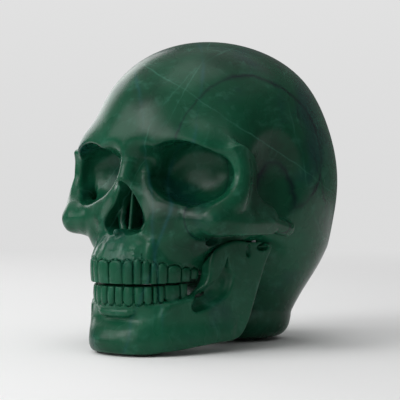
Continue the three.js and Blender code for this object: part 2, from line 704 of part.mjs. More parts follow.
// One half of a row of teeth as crowns, each with its middle and width along the arch
function toothRow(widthShares, middleShare = 0) {
  const middle = middleShare * toothArch.length;
  const row = middle > 0 ? [{ middle: 0, width: middle }] : [];
  let start = middle / 2;
  for (const share of widthShares) {
    const width = share * toothArch.length;
    row.push({ middle: start + width / 2, width });
    start += width;
  }
  return row;
}

// Solid of a row: its plan, with a groove between crowns and a belly on each, raised to heights
// that follow the bite and the domed gum line of each crown
const crownShares = [[-1, 0], [-0.62, 1], [0, 1], [0.62, 1]]; // over half the crown, in or out
function rowSolid(row, lowEdge, highEdge, setBack) {
  const half = [];
  for (const { middle, width } of row) {
    for (const [across, out] of crownShares) {
      const along = middle + (across * width) / 2;
      const belly = across === 0 ? crownBelly : 0;
      if (along >= 0) half.push({ along, offset: (out - 1) * toothGroove + belly - setBack });
    }
  }
  const last = row.at(-1);
  const end = last.middle + last.width / 2;
  half.push({ along: end, offset: -toothGroove - setBack });
  const inner = row.map(({ middle }) => ({ along: middle, offset: -rowThickness - setBack }));
  const right = [...half, ...inner.reverse()].map(({ along, offset }) => {
    const { point, tangent } = toothArch.at(along);
    return new THREE.Vector2(point.x + tangent.y * offset, point.y - tangent.x * offset);
  });
  const left = right.filter(({ x }) => x > mergeReach).reverse();
  const ring = [...right, ...left.map(({ x, y }) => new THREE.Vector2(-x, y))];
  const plan = new THREE.ExtrudeGeometry(new THREE.Shape(ring), { depth: 1, bevelEnabled: false });
  const spots = plan.attributes.position;
  for (let i = 0; i < spots.count; i++) {
    const [, along] = toothArch.measure(Math.abs(spots.getX(i)), spots.getY(i));
    const crown = row.find(({ middle, width }) => along <= middle + width / 2) ?? last;
    const across = (2 * (along - crown.middle)) / crown.width;
    const edge = spots.getZ(i) > 0 ? highEdge : lowEdge;
    spots.setZ(i, edge(along, across));
  }
  return solidFrom(plan);
}

function box(low, high) {
  const size = high.map((value, i) => value - low[i]);
  const geometry = new THREE.BoxGeometry(...size);
  return solidFrom(geometry.translate(...low.map((value, i) => value + size[i] / 2)));
}
const reachOf = (share) => share * standDepth;
const underFloor = box(
  [-reachOf(1), -reachOf(1), -reachOf(1)], [reachOf(1), reachOf(1), castingFloor],
);

// Upright round bar or bore whose lower end is at the given place
function upright(x, y, low, high, radius, sides) {
  const bar = new THREE.CylinderGeometry(radius, radius, high - low, sides);
  return bar.rotateX(Math.PI / 2).translate(x, y, (low + high) / 2);
}

const pinPlaceShares = [0.39, -0.11, 0.46]; // left pin's lower end
const pinSpots = Object.entries(mirrored).map(([side, sign]) => {
  const [x, y, z] = place(pinPlaceShares);
  return { side, x: sign * x, y, z };
});
const pinBores = pinSpots.map(({ x, y, z }) => solidFrom(upright(
  x, y, z - bondGap, z + pinLength + bondGap, pinRadius + bondGap, pinSides,
)));

function buildCranium(field) {
  let solid = solidFrom(meshOf(field.at, skullLattice));
  const gum = (along, across) => upperGum(along) - gumDip * across ** 2;
  solid = solid.add(rowSolid(toothRow(upperWidthShares), biteHeight, gum, 0));
  for (const bore of pinBores) solid = solid.subtract(bore);
  return solid.subtract(underFloor);
}

function buildMandible(field, craniumField) {
  let solid = solidFrom(meshOf(field.at, jawLattice));
  const bite = (along) => biteHeight(along) - biteGap;
  const gum = (along, across) => lowerGum(along) + gumDip * across ** 2;
  const row = toothRow(lowerWidthShares, lowerMiddleShare);
  solid = solid.add(rowSolid(row, gum, bite, lowerSetBack));
  const grown = solidFrom(meshOf((x, y, z) => craniumField.at(x, y, z) - bondGap, skullLattice));
  solid = solid.subtract(grown);
  for (const bore of pinBores) solid = solid.subtract(bore);
  return solid.subtract(underFloor);
}

const craniumField = new Sculpt();
sculptBraincase(craniumField);
sculptBrowAndNose(craniumField);
sculptCheeks(craniumField);
sculptUpperJaw(craniumField);
sculptCheekbone(craniumField);
carveSockets(craniumField);
carveNose(craniumField);
const jawField = new Sculpt();
sculptJawBody(jawField);
sculptJawBranch(jawField);

// Finishes
const marble = { color: 0x2c6b50, roughness: 0.32, metalness: 0 };
const steel = { color: 0x9aa0a4, roughness: 0.4, metalness: 1 };
const rubber = { color: 0x1d2422, roughness: 0.9, metalness: 0 };

const skull = new THREE.Group();
function addPart(name, geometry, finish) {
  const mesh = new THREE.Mesh(geometry, new THREE.MeshStandardMaterial(finish));
  mesh.name = name;
  skull.add(mesh);
  return mesh;
}

addPart('cranium', geometryFrom(buildCranium(craniumField)), marble);
addPart('mandible', geometryFrom(buildMandible(jawField, craniumField)), marble);
for (const { side, x, y, z } of pinSpots) {
  const pin = upright(x, y, z, z + pinLength, pinRadius, pinSides);
  addPart(`jaw_pin_${side}`, pin, steel);
}
const padPlaceShares = { chin: [0.12, -0.64, 0], foot: [0.1, 0.3, 0] };
for (const [where, shares] of Object.entries(padPlaceShares)) {
  const [x, y] = place(shares);
  for (const [side, sign] of Object.entries(mirrored)) {
    const pad = upright(sign * x, y, 0, padThickness, padRadius, padSides);
    addPart(`${where}_pad_${side}`, pad, rubber);
  }
}

// The origin is the middle of the footprint of the whole skull, on the table
const extent = new THREE.Box3().setFromObject(skull);
skull.position.y = -(extent.min.y + extent.max.y) / 2;

export default skull;
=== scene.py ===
"""Looks of a cast resin skull that stands on a table, in green marble.

The cranium and the lower jaw are sculpted as solid fields: soft forms joined and carved in
order. Each form is a function of place that is below zero inside, and the surface where the
whole field is zero becomes the mesh. The faces of the teeth are a relief worked out along
the dental arch. Sizes are millimetres in the tables and metres in the meshes.
"""
import logging
import math
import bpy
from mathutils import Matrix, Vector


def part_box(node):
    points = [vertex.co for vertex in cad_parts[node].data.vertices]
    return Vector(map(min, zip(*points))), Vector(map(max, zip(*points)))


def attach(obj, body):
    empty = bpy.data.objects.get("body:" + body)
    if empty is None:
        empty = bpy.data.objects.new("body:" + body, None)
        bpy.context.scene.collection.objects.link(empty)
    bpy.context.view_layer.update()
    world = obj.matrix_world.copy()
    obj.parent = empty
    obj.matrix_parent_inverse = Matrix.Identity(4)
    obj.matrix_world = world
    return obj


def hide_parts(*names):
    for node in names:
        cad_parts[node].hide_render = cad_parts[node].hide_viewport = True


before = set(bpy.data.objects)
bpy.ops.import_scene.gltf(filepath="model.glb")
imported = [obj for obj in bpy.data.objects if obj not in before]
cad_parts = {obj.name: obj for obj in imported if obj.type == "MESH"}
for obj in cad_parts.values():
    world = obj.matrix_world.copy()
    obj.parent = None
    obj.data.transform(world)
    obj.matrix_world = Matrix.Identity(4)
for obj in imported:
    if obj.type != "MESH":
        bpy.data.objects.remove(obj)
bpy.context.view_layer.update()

from concurrent.futures import ThreadPoolExecutor
from dataclasses import dataclass, field
from enum import Enum
from typing import Callable, Sequence

import bpy
import numpy as np
from mathutils import Vector

log = logging.getLogger("skull")

MM = 0.001  # metres in a millimetre
TRIANGLE_LIMIT = 190_000  # of one casting
CASTING_FLOOR = 1.3  # height of a casting's flat underside over the table
SHIFT_Y = -1.64  # from the sculpting axes to the middle of the footprint
TINY = 1e-9  # keeps a length from being divided by zero
MOST_CELLS = 400  # beyond the even ones, on one side

Array = np.ndarray
Point = tuple[float, float, float]
Spot = tuple[float, float]
Field = Callable[[Array, Array, Array], Array]
Mesh, Piece = bpy.types.Mesh, bpy.types.Object
Material, Tree, Socket = bpy.types.Material, bpy.types.NodeTree, bpy.types.NodeSocket


class Slot(Enum):
    """Material slots of the pieces that stand for CAD nodes."""

    MARBLE = "green_marble"
    PAD = "pad_rubber"


# Soft forms ---------------------------------------------------------------------------


def soft_min(a: Array, b: Array, blend: float) -> Array:
    """Lower of two fields, melted together where they differ by less than the blend.

    Returns:
        min(a, b) less h cubed times blend over six, where h falls from one to zero as the
        difference goes from nothing to the blend.
    """
    if blend <= 0:
        return np.minimum(a, b)
    h = np.maximum(blend - np.abs(a - b), 0) / blend
    return np.minimum(a, b) - h * h * h * blend / 6


def soft_max(a: Array, b: Array, blend: float) -> Array:
    """Higher of two fields, melted together as soft_min does."""
    return -soft_min(-a, -b, blend)


def smooth_line(marks: Sequence[Sequence[float]], steps: int, closed: bool = False) -> Array:
    """Catmull-Rom line through marks: between two marks a cubic whose slope at each mark is
    half the step from the mark before it to the mark after it.

    Args:
        marks: places in two or three dimensions.
        steps: straight pieces between two marks.
        closed: whether the line comes back to its first mark.

    Returns:
        The places along the line, one row each, the first not repeated when closed.
    """
    p = np.asarray(marks, float)
    if closed:
        p = np.vstack([p[-1:], p, p[:2]])
    else:
        p = np.vstack([2 * p[0] - p[1], p, 2 * p[-1] - p[-2]])
    a, b, c, d = p[:-3, None], p[1:-2, None], p[2:-1, None], p[3:, None]
    t = np.linspace(0, 1, steps, endpoint=False)[None, :, None]
    line = 0.5 * (2 * b + (c - a) * t + (2 * a - 5 * b + 4 * c - d) * t**2
                  + (3 * b - a - 3 * c + d) * t**3)
    line = line.reshape(-1, p.shape[1])
    return line if closed else np.vstack([line, p[-2:-1]])

def to_piece(a: Array, b: Array, *place: Array) -> tuple[Array, Array]:
    """Nearest spot on a straight piece.

    Args:
        a: start of the piece.
        b: end of the piece.
        place: coordinates of the places, one array for each axis.

    Returns:
        For each place, the share of the piece at which the nearest spot lies and the squared
        distance to that spot.
    """
    step = b - a
    off = [axis - start for axis, start in zip(place, a)]
    share = np.clip(sum(q * s for q, s in zip(off, step)) / (step @ step), 0, 1)
    return share, sum((q - s * share) ** 2 for q, s in zip(off, step))


@dataclass(frozen=True)
class Ellipsoid:
    """Ellipsoid, turned about the upright axis; its field is nearly the distance to it."""

    middle: Point
    radii: Point
    yaw: float = 0

    def __call__(self, x: Array, y: Array, z: Array) -> Array:
        """Field k(k - 1) / s, where k is the length of the place over the radii and s the
        length of the place over the squared radii."""
        turn = math.radians(self.yaw)
        dx, dy, dz = x - self.middle[0], y - self.middle[1], z - self.middle[2]
        u = dx * math.cos(turn) + dy * math.sin(turn)
        v = dy * math.cos(turn) - dx * math.sin(turn)
        rx, ry, rz = self.radii
        near = np.sqrt((u / rx) ** 2 + (v / ry) ** 2 + (dz / rz) ** 2)
        slope = np.sqrt((u / rx**2) ** 2 + (v / ry**2) ** 2 + (dz / rz**2) ** 2)
        return near * (near - 1) / np.maximum(slope, 1e-6)


@dataclass(frozen=True)
class Rod:
    """Round bar along a smooth line, whose radius goes evenly from mark to mark."""

    marks: Sequence[Point]
    radii: Sequence[float]
    steps: int = 4  # straight pieces between two marks
    squeeze: float = 1  # what x is multiplied by before the line is measured

    def __call__(self, x: Array, y: Array, z: Array) -> Array:
        """Least over the line's pieces of the distance to the piece less its radius there."""
        steps = self.steps if len(self.marks) > 2 else 1
        line = smooth_line(self.marks, steps)
        along = np.linspace(0, len(self.radii) - 1, len(line))
        radii = np.interp(along, np.arange(len(self.radii)), self.radii)
        nearest = np.full_like(x, np.inf)
        for a, b, ra, rb in zip(line, line[1:], radii, radii[1:]):
            share, squared = to_piece(a, b, x * self.squeeze, y, z)
            nearest = np.minimum(nearest, np.sqrt(squared) - (ra + (rb - ra) * share))
        return nearest


class Outline:
    """Smooth closed outline in a plane, as a signed distance below zero inside."""

    def __init__(self, marks: Sequence[Spot], steps: int = 4) -> None:
        """Keeps the ring of places along the outline."""
        self.ring = smooth_line(marks, steps, closed=True)

    def __call__(self, u: Array, v: Array) -> Array:
        """Distance to the nearest piece, negative where a ray crosses the outline an odd
        number of times."""
        nearest = np.full_like(u, np.inf)
        inside = np.zeros(u.shape, bool)
        for a, b in zip(self.ring, np.roll(self.ring, 1, axis=0)):
            nearest = np.minimum(nearest, to_piece(a, b, u, v)[1])
            step = b - a
            if step[1] != 0:
                spans = (a[1] > v) != (b[1] > v)
                inside ^= spans & (u - a[0] < (v - a[1]) * step[0] / step[1])
        away = np.sqrt(nearest)
        return np.where(inside, -away, away)


class Profile:
    """Smooth curve of a value over a height or a length."""

    def __init__(self, marks: Sequence[Spot]) -> None:
        """Keeps the smooth line through the marks."""
        self.line = smooth_line(marks, 6)

    def __call__(self, at: Array) -> Array:
        """Value at each place, held level beyond the ends."""
        return np.interp(at, self.line[:, 0], self.line[:, 1]).astype(at.dtype)


class Arch:
    """Dental or jaw arch seen from above, for the left half."""

    def __init__(self, marks: Sequence[Spot], steps: int = 5) -> None:
        """Keeps the smooth line and the length along it from the middle."""
        x, y = marks[1]
        self.line = smooth_line([(-x, y), *marks], steps)[steps:]
        pieces = np.linalg.norm(np.diff(self.line, axis=0), axis=1)
        self.lengths = np.concatenate([[0], np.cumsum(pieces)])
        self.length = float(self.lengths[-1])

    def measure(self, x: Array, y: Array) -> tuple[Array, Array]:
        """Distance outward from the arch and length along it at each place of the plan."""
        nearest = np.full_like(x, np.inf)
        out, along = np.zeros_like(x), np.zeros_like(x)
        for a, b, start in zip(self.line, self.line[1:], self.lengths):
            step = b - a
            share, squared = to_piece(a, b, x, y)
            away = np.sqrt(squared)
            closer = away < nearest
            nearest = np.where(closer, away, nearest)
            outward = step[0] * (y - a[1]) - step[1] * (x - a[0]) < 0
            out = np.where(closer, np.where(outward, away, -away), out)
            along = np.where(closer, start + share * float(np.hypot(*step)), along)
        return out, along


@dataclass(frozen=True)
class Step:
    """One form that is melted onto a body or carved out of it."""

    form: Field
    blend: float
    carves: bool = False

    def __call__(self, body: Array, x: Array, y: Array, z: Array) -> Array:
        """Field of the body after the step."""
        if self.carves:
            return soft_max(body, -self.form(x, y, z), self.blend)
        return soft_min(body, self.form(x, y, z), self.blend)


def join(form: Field, blend: float) -> Step:
    """Step that melts a form onto the body."""
    return Step(form, blend)


def carve(form: Field, blend: float) -> Step:
    """Step that takes a form out of the body."""
    return Step(form, blend, carves=True)


def sculpted(body: Array, steps: Sequence[Step], x: Array, y: Array, z: Array) -> Array:
    """Field of the body after some steps in order."""
    for step in steps:
        body = step(body, x, y, z)
    return body


# From a field to a mesh ----------------------------------------------------------------


def corners(grid: Array, axes: Sequence[int] = (0, 1, 2)) -> list[Array]:
    """Views of a lattice's values, one for each corner of its cells, or of its squares or
    edges where only some axes are given."""
    views = [grid]
    for axis in axes:
        whole = (slice(None),) * axis
        views = [view[(*whole, part)] for view in views
                 for part in (slice(0, -1), slice(1, None))]
    return views


def graded(low: float, fine_low: float, fine_high: float, high: float, cell: float,
           largest: float, growth: float = 1.06) -> Array:
    """Places along one axis: even cells between two of them, growing by a ratio outside.

    Args:
        low: first place that has to be reached.
        fine_low: start of the even cells.
        fine_high: end of the even cells.
        high: last place that has to be reached.
        cell: size of the even cells.
        largest: size at which the growth stops.
        growth: ratio from one cell to the next.

    Returns:
        The places in rising order.
    """
    count = int(math.ceil((fine_high - fine_low) / cell))
    even = fine_low + cell * np.arange(count + 1)
    sizes = np.minimum(cell * growth ** np.arange(1, MOST_CELLS), largest)
    up = even[-1] + np.cumsum(sizes)
    down = fine_low - np.cumsum(sizes)
    up = up[: np.searchsorted(up, high) + 1] if high > even[-1] else up[:0]
    down = down[: np.searchsorted(-down, -low) + 1] if low < fine_low else down[:0]
    return np.concatenate([down[::-1], even, up])


@dataclass
class Lattice:
    """Lattice of places over the left half, from the middle plane outwards."""

    x: Array
    y: Array
    z: Array
    block: int = 4
    REACH_SHARE = 0.75  # of a block's diagonal, within which the surface may cross it

    def __post_init__(self) -> None:
        """Adds places at the far end of each axis, so that whole blocks fill the axis."""
        for name in "xyz":
            axis = getattr(self, name)
            extra = -(len(axis) - 1) % self.block
            more = axis[-1] + (axis[-1] - axis[-2]) * np.arange(1, extra + 1)
            setattr(self, name, np.concatenate([axis, more]))

    def values(self, solid: Field) -> Array:
        """Field at each place. Only blocks that the surface may cross are worked out: in
        the others each place takes the value of the block's first corner.

        Args:
            solid: the field.

        Returns:
            Values over x, y and z.
        """
        m = self.block
        axes = (self.x, self.y, self.z)
        corner_axes = [axis[::m] for axis in axes]
        coarse = worked_out(solid, *np.meshgrid(*corner_axes, indexing="ij"))
        dx, dy, dz = np.meshgrid(*[np.diff(axis) for axis in corner_axes], indexing="ij")
        reach = self.REACH_SHARE * np.sqrt(dx**2 + dy**2 + dz**2)
        windows = np.stack(corners(coarse))
        live = (np.abs(windows).min(0) < reach) | (windows.min(0) < 0) & (windows.max(0) > 0)
        cells = live.repeat(m, 0).repeat(m, 1).repeat(m, 2)
        wanted = np.zeros([len(axis) for axis in axes], bool)
        for corner in corners(wanted):
            corner |= cells
        a, b, c = wanted.shape
        values = coarse.repeat(m, 0).repeat(m, 1).repeat(m, 2)[:a, :b, :c]
        i, j, k = np.nonzero(wanted)
        values[i, j, k] = worked_out(solid, self.x[i], self.y[j], self.z[k])
        return values


def worked_out(solid: Field, x: Array, y: Array, z: Array, chunk: int = 16_000) -> Array:
    """Field at many places, in chunks that are shared out among the processor's cores."""
    flat = [axis.ravel().astype(np.float32) for axis in (x, y, z)]
    parts = [[axis[i:i + chunk] for axis in flat] for i in range(0, flat[0].size, chunk)]
    with ThreadPoolExecutor() as pool:
        found = list(pool.map(lambda part: solid(*part), parts))
    return np.concatenate(found).reshape(x.shape)


class Skin:
    """Closed mesh of the surface on which a mirrored field is zero: one vertex in each cell
    that the surface crosses, and one square over each crossed edge of the lattice."""

    SQUARES = (
        ((0, 1, 1), (0, 0, 1), (0, 0, 0), (0, 1, 0)),
        ((1, 0, 1), (1, 0, 0), (0, 0, 0), (0, 0, 1)),
        ((1, 1, 0), (0, 1, 0), (0, 0, 0), (1, 0, 0)),
    )

    PINCH_PASSES = 8  # at most, each of which may open the next pinch
    PINCH_VALUE = -1e-4  # of a corner that is let in
    PROBE = 0.12  # to either side, for the slope
    LEAST_STEEP = 0.25  # squared slope below which a move grows no further

    def __init__(self, solid: Field, lattice: Lattice) -> None:
        """Works out vertices and squares."""
        self.solid = lambda x, y, z: solid(np.abs(x), y, z)
        half = lattice.values(solid)
        values = self._uncrossed(np.concatenate([half[:0:-1], half]))
        axes = (np.concatenate([-lattice.x[:0:-1], lattice.x]), lattice.y, lattice.z)
        inside = values < 0
        full = sum(corner.astype(np.int8) for corner in corners(inside))
        crossed = (full > 0) & (full < 8)
        number = np.full(crossed.shape, -1)
        number[crossed] = np.arange(crossed.sum())
        self.vertices = self._vertices(values, inside, axes, number)
        self.squares = self._squares(inside, number)

    @classmethod
    def _uncrossed(cls, values: Array) -> Array:
        """Lets in both outer corners of each lattice square whose corners are in, out, in
        and out, because the surface would pinch there."""
        for _ in range(cls.PINCH_PASSES):
            inside = values < 0
            touched = False
            for axes in ((0, 1), (1, 2), (0, 2)):
                near, left, right, far = corners(inside, axes)
                pinch = (near == far) & (left == right) & (near != left)
                touched |= bool(pinch.any())
                for corner in corners(values, axes):
                    corner[pinch & (corner >= 0)] = cls.PINCH_VALUE
            if not touched:
                break
        return values

    @staticmethod
    def _crossed_edges(inside: Array, axis: int) -> Array:
        """Lower ends of the lattice's edges along an axis that the surface crosses."""
        low, high = corners(inside, (axis,))
        return np.stack(np.nonzero(low != high))

    @classmethod
    def _vertices(cls, values: Array, inside: Array, axes: Sequence[Array],
                  number: Array) -> Array:
        """Mean, in each cell, of the places where the surface crosses the cell's edges."""
        count = number.max() + 1
        sums = np.zeros((count, 3))
        hits = np.zeros(count)
        for axis in range(3):
            edge = cls._crossed_edges(inside, axis)
            end = edge.copy()
            end[axis] += 1
            v0, v1 = values[tuple(edge)], values[tuple(end)]
            place = np.stack([axes[n][edge[n]] for n in range(3)], 1)
            place[:, axis] += (axes[axis][end[axis]] - place[:, axis]) * v0 / (v0 - v1)
            first, second = [n for n in range(3) if n != axis]
            for back in ((0, 0), (0, 1), (1, 0), (1, 1)):
                cell = edge.copy()
                cell[first] -= back[0]
                cell[second] -= back[1]
                owner = number[tuple(cell)]
                hits += np.bincount(owner, minlength=count)
                for n in range(3):
                    sums[:, n] += np.bincount(owner, place[:, n], count)
        return sums / hits[:, None]

    def _squares(self, inside: Array, number: Array) -> Array:
        """Four cells' vertices round each crossed edge, in the order that faces outwards."""
        squares = []
        for axis, offsets in enumerate(self.SQUARES):
            edge = self._crossed_edges(inside, axis)
            here = inside[tuple(edge)]
            ring = np.stack([number[tuple(edge - np.array(offset)[:, None])]
                             for offset in offsets], 1)
            ring[~here] = ring[~here, ::-1]
            squares.append(ring)
        return np.concatenate(squares)

    def _slope(self, points: Array) -> Array:
        """Slope of the field at each place, from places a probe away on either side."""
        slopes = []
        for step in np.eye(3) * self.PROBE:
            ahead = worked_out(self.solid, *(points + step).T)
            behind = worked_out(self.solid, *(points - step).T)
            slopes.append((ahead - behind) / (2 * self.PROBE))
        return np.stack(slopes, 1)

    def pulled(self, points: Array, furthest: float) -> tuple[Array, Array]:
        """Places moved along the slope onto the surface, and the outward direction there.

        Args:
            points: places near the surface, one row each.
            furthest: longest move.

        Returns:
            The moved places and the unit slope at each.
        """
        value, slope = worked_out(self.solid, *points.T), self._slope(points)
        steep = np.maximum((slope**2).sum(1), self.LEAST_STEEP)
        move = -slope * (value / steep)[:, None]
        size = np.linalg.norm(move, axis=1)
        move *= np.minimum(1, furthest / np.maximum(size, TINY))[:, None]
        length = np.maximum(np.linalg.norm(slope, axis=1), TINY)
        return points + move, slope / length[:, None]


def turned(radii: Array, heights: Array, around: int) -> tuple[Array, list[list[int]]]:
    """Profile carried round the upright axis. Faces look to the right of the profile's way.

    Args:
        radii: distance from the axis of each mark. The last lies on the axis, where a fan of
            triangles closes the form, and the first may.
        heights: height of each mark.
        around: steps round the axis.

    Returns:
        The places, one row each, and the vertex numbers of each face.
    """
    turn = np.linspace(0, 2 * math.pi, around, endpoint=False)
    first = int(radii[0] == 0)
    ring_radii, ring_heights = radii[first:-1, None], heights[first:-1, None]
    rings = len(ring_radii)
    grid = np.stack([ring_radii * np.cos(turn), ring_radii * np.sin(turn),
                     np.broadcast_to(ring_heights, (rings, around))], -1)
    i, j = np.meshgrid(np.arange(rings - 1) * around, np.arange(around), indexing="ij")
    k = (j + 1) % around
    squares = np.stack([i + j, i + k, i + around + k, i + around + j], -1).reshape(-1, 4)
    here, beyond = np.arange(around), np.roll(np.arange(around), -1)
    last = (rings - 1) * around
    pole = np.full(around, rings * around)
    faces = squares.tolist() + np.stack([last + here, last + beyond, pole], 1).tolist()
    points = [grid.reshape(-1, 3), [[0, 0, heights[-1]]]]
    if first:
        faces += np.stack([beyond, here, pole + 1], 1).tolist()
        points.append([[0, 0, heights[0]]])
    return np.concatenate(points), faces


def linked(name: str, data: bpy.types.ID) -> Piece:
    """New object in the scene."""
    piece = bpy.data.objects.new(name, data)
    bpy.context.scene.collection.objects.link(piece)
    return piece


class MeshMaker:
    """Turns arrays in millimetres into Blender meshes that ride on the part's one body."""

    @staticmethod
    def to_frame(points: Array) -> Array:
        """Places in the sculpting axes as metres in the part's frame."""
        return (points + np.array([0, SHIFT_Y, 0])) * MM

    @staticmethod
    def mesh(name: str, points: Array, squares: Array) -> Mesh:
        """Mesh of four-sided faces from arrays of places in metres and of vertex numbers."""
        mesh = bpy.data.meshes.new(name)
        mesh.vertices.add(len(points))
        mesh.vertices.foreach_set("co", points.astype(np.float32).ravel())
        mesh.loops.add(squares.size)
        mesh.loops.foreach_set("vertex_index", squares.astype(np.int32).ravel())
        mesh.polygons.add(len(squares))
        sides = squares.shape[1]
        starts = np.arange(0, squares.size, sides, dtype=np.int32)
        mesh.polygons.foreach_set("loop_start", starts)
        mesh.update(calc_edges=True)
        mesh.validate()
        mesh.shade_smooth()
        return mesh

    @staticmethod
    def mesh_of_faces(name: str, points: Array, faces: list[list[int]]) -> Mesh:
        """Smooth mesh from places in metres and the vertex numbers of mixed faces."""
        mesh = bpy.data.meshes.new(name)
        mesh.from_pydata(points.tolist(), [], faces)
        mesh.update()
        mesh.shade_smooth()
        return mesh

    @staticmethod
    def place(mesh: Mesh, name: str, nodes: Sequence[str], slot: Slot,
              material: Material) -> Piece:
        """Adds the mesh as a piece that stands for its CAD nodes.

        Args:
            mesh: the finished mesh, its place in its vertices.
            name: the piece's name.
            nodes: CAD nodes that it stands for.
            slot: not used.
            material: what it is dressed in.

        Returns:
            The new object.
        """
        piece = linked(name, mesh)
        mesh.materials.clear()
        mesh.materials.append(material)
        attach(piece, "root")
        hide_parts(*nodes)
        return piece

    @staticmethod
    def points_of(mesh: Mesh) -> Array:
        """Vertices of a mesh, one row each."""
        flat = np.empty(3 * len(mesh.vertices), np.float32)
        mesh.vertices.foreach_get("co", flat)
        return flat.reshape(-1, 3).astype(float)

    def casting(self, name: str, solid: Field, lattice: Lattice, material: Material) -> Piece:
        """Casting whose surface is where the field is zero. Flat parts of the fine mesh are
        thinned out to the triangle limit, the vertices are pulled back onto the surface, and
        each takes the surface's own direction as its normal.

        Args:
            name: the CAD node that it stands for.
            solid: field of its left half.
            lattice: where the field is worked out.
            material: what it is dressed in.

        Returns:
            The piece.
        """
        skin = Skin(solid, lattice)
        cell = float(lattice.x[1] - lattice.x[0])
        fine, _ = skin.pulled(skin.vertices, cell / 2)
        mesh = self.mesh(name, fine, skin.squares)
        triangles = 2 * len(skin.squares)
        if triangles > TRIANGLE_LIMIT:
            mesh = self._thinned(mesh, TRIANGLE_LIMIT / triangles)
        points, normals = skin.pulled(self.points_of(mesh), cell / 2)
        placed = self._inside_box(self.to_frame(points), name)
        mesh.vertices.foreach_set("co", placed.astype(np.float32).ravel())
        mesh.update()
        mesh.shade_smooth()
        mesh.normals_split_custom_set_from_vertices(normals.tolist())
        piece = self.place(mesh, f"{name}_casting", [name], Slot.MARBLE, material)
        log.info("%s: %d triangles from %d", name, len(mesh.loops) - 2 * len(mesh.polygons),
                 triangles)
        return piece

    @staticmethod
    def _thinned(mesh: Mesh, share: float) -> Mesh:
        """Mesh with its flattest edges collapsed, down to a share of its faces."""
        helper = linked("thinning", mesh)
        thin = helper.modifiers.new("thin", "DECIMATE")
        thin.ratio = share
        thin.use_symmetry = True
        thin.symmetry_axis = "X"
        graph = bpy.context.evaluated_depsgraph_get()
        thinned = bpy.data.meshes.new_from_object(helper.evaluated_get(graph))
        bpy.data.objects.remove(helper)
        bpy.data.meshes.remove(mesh)
        return thinned

    @staticmethod
    def _inside_box(points: Array, node: str) -> Array:
        """Places squeezed by the hair that keeps them inside their CAD node's box."""
        low, high = (np.array(corner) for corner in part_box(node))
        own_low, own_high = points.min(0), points.max(0)
        log.info("%s: box %s to %s, CAD %s to %s", node, own_low.round(4), own_high.round(4),
                 low.round(4), high.round(4))
        squeezed_low, squeezed_high = np.maximum(own_low, low), np.minimum(own_high, high)
        share = (points - own_low) / (own_high - own_low)
        return squeezed_low + share * (squeezed_high - squeezed_low)


# Teeth ----------------------------------------------------------------------------------


@dataclass(frozen=True)
class ToothRow:
    """Relief of one half of a row of teeth, worked out along the dental arch."""

    widths: Sequence[float]  # crowns from the middle back
    gum_heights: Sequence[float]  # of each crown's gum line
    bite_heights: Sequence[float]  # of each crown's biting edge
    set_back: float  # of the row behind the arch
    lean: float  # how far the face falls back at the bite
    shares_middle: bool = False  # whether the first crown stands on the middle line
    depth: float = 8.5  # from face to tongue
    corner: float = 2.2  # blend of a crown's sides with its gum line
    dome: float = 0.12  # rise of the gum line, as a share of the crown's height
    groove: float = 0.6  # depth between two crowns
    groove_width: float = 0.6
    belly: float = 0.8  # swell of the face toward its middle
    waist: float = 0.3  # share of the belly that is gone at the gum line
    bulge: float = 0.35  # swell halfway up
    gum_slope: float = 0.55  # of the bone above the gum line
    edge_slope: float = 0.12  # of the bite toward the tongue
    socket: float = 4  # of the row inside the jaw
    line_width: float = 0.24  # half the width of the line round a crown
    line_rise: float = 0.2  # of the line over the crown's face
    line_depth: float = 1.0

    def field(self, body: Array, out: Array, along: Array, z: Array) -> Array:
        """Body with the row joined to it. Each crown is a rounded rectangle between two
        grooves and between its bite and its domed gum line; it swells toward its middle, and
        the swell falls off toward its edge as a parabola.

        Args:
            body: field of the jaw that carries the row.
            out: distance outward from the dental arch.
            along: length along the arch.
            z: height.

        Returns:
            The field of the jaw with its teeth.
        """
        edges = np.concatenate([[0], np.cumsum(self.widths)]).astype(z.dtype)
        last = len(self.widths) - 1
        which = np.clip(np.searchsorted(edges, along, side="right") - 1, 0, last)
        width = np.asarray(self.widths, z.dtype)[which]
        across = (along - (edges[:-1] + edges[1:])[which] / 2) / (width / 2)
        if self.shares_middle:
            across = np.where(which == 0, along / self.widths[0], across)
            width = np.where(which == 0, 2 * width, width)
        gum = np.asarray(self.gum_heights, z.dtype)[which]
        bite = np.asarray(self.bite_heights, z.dtype)[which]
        tall = np.abs(gum - bite)
        up = (z - bite) / (gum - bite)
        side = (np.abs(across) - 1) * width / 2
        ends = np.maximum((up - 1) + self.dome * across**2, -up - 0.3) * tall
        edge = soft_max(side, ends, self.corner)
        rise = np.clip(-edge, 0, 1)
        rise = rise * (2 - rise)
        spread = np.exp(-np.maximum(edge, 0) ** 2 / self.groove_width**2)
        furrow = self.groove * (1 - rise) * spread
        level = np.clip(up, 0, 1)
        swell = (self.belly * (1 - np.clip(across**2, 0, 1)) * (1 - self.waist * level)
                 + self.bulge * np.sin(level * np.pi) - self.lean * (1 - level))
        face = (-self.set_back + np.where(edge < 0, swell * rise, 0) - furrow
                - np.maximum(up - 1, 0) * tall * self.gum_slope)
        row = soft_max(out - face, -(out + self.depth), 1.5)
        hangs = self.gum_heights[0] > self.bite_heights[0]
        low, high = (bite, gum + self.socket) if hangs else (gum - self.socket, bite)
        lift = self.edge_slope * np.clip(-out - self.set_back, 0, self.depth)
        row = soft_max(row, np.maximum(z - high - lift, low + lift - z), 0.8)
        row = soft_max(row, along - edges[-1], 1.5)
        cut = np.maximum(np.abs(edge) - self.line_width, out + self.set_back - self.line_rise)
        cut = np.maximum(cut, -(out + self.set_back + self.line_depth))
        cut = np.maximum(cut, (up - 1.05) * tall)
        cut = np.maximum(cut, along - edges[-1])
        return soft_max(soft_min(body, row, 1.0), -cut, 0.25)


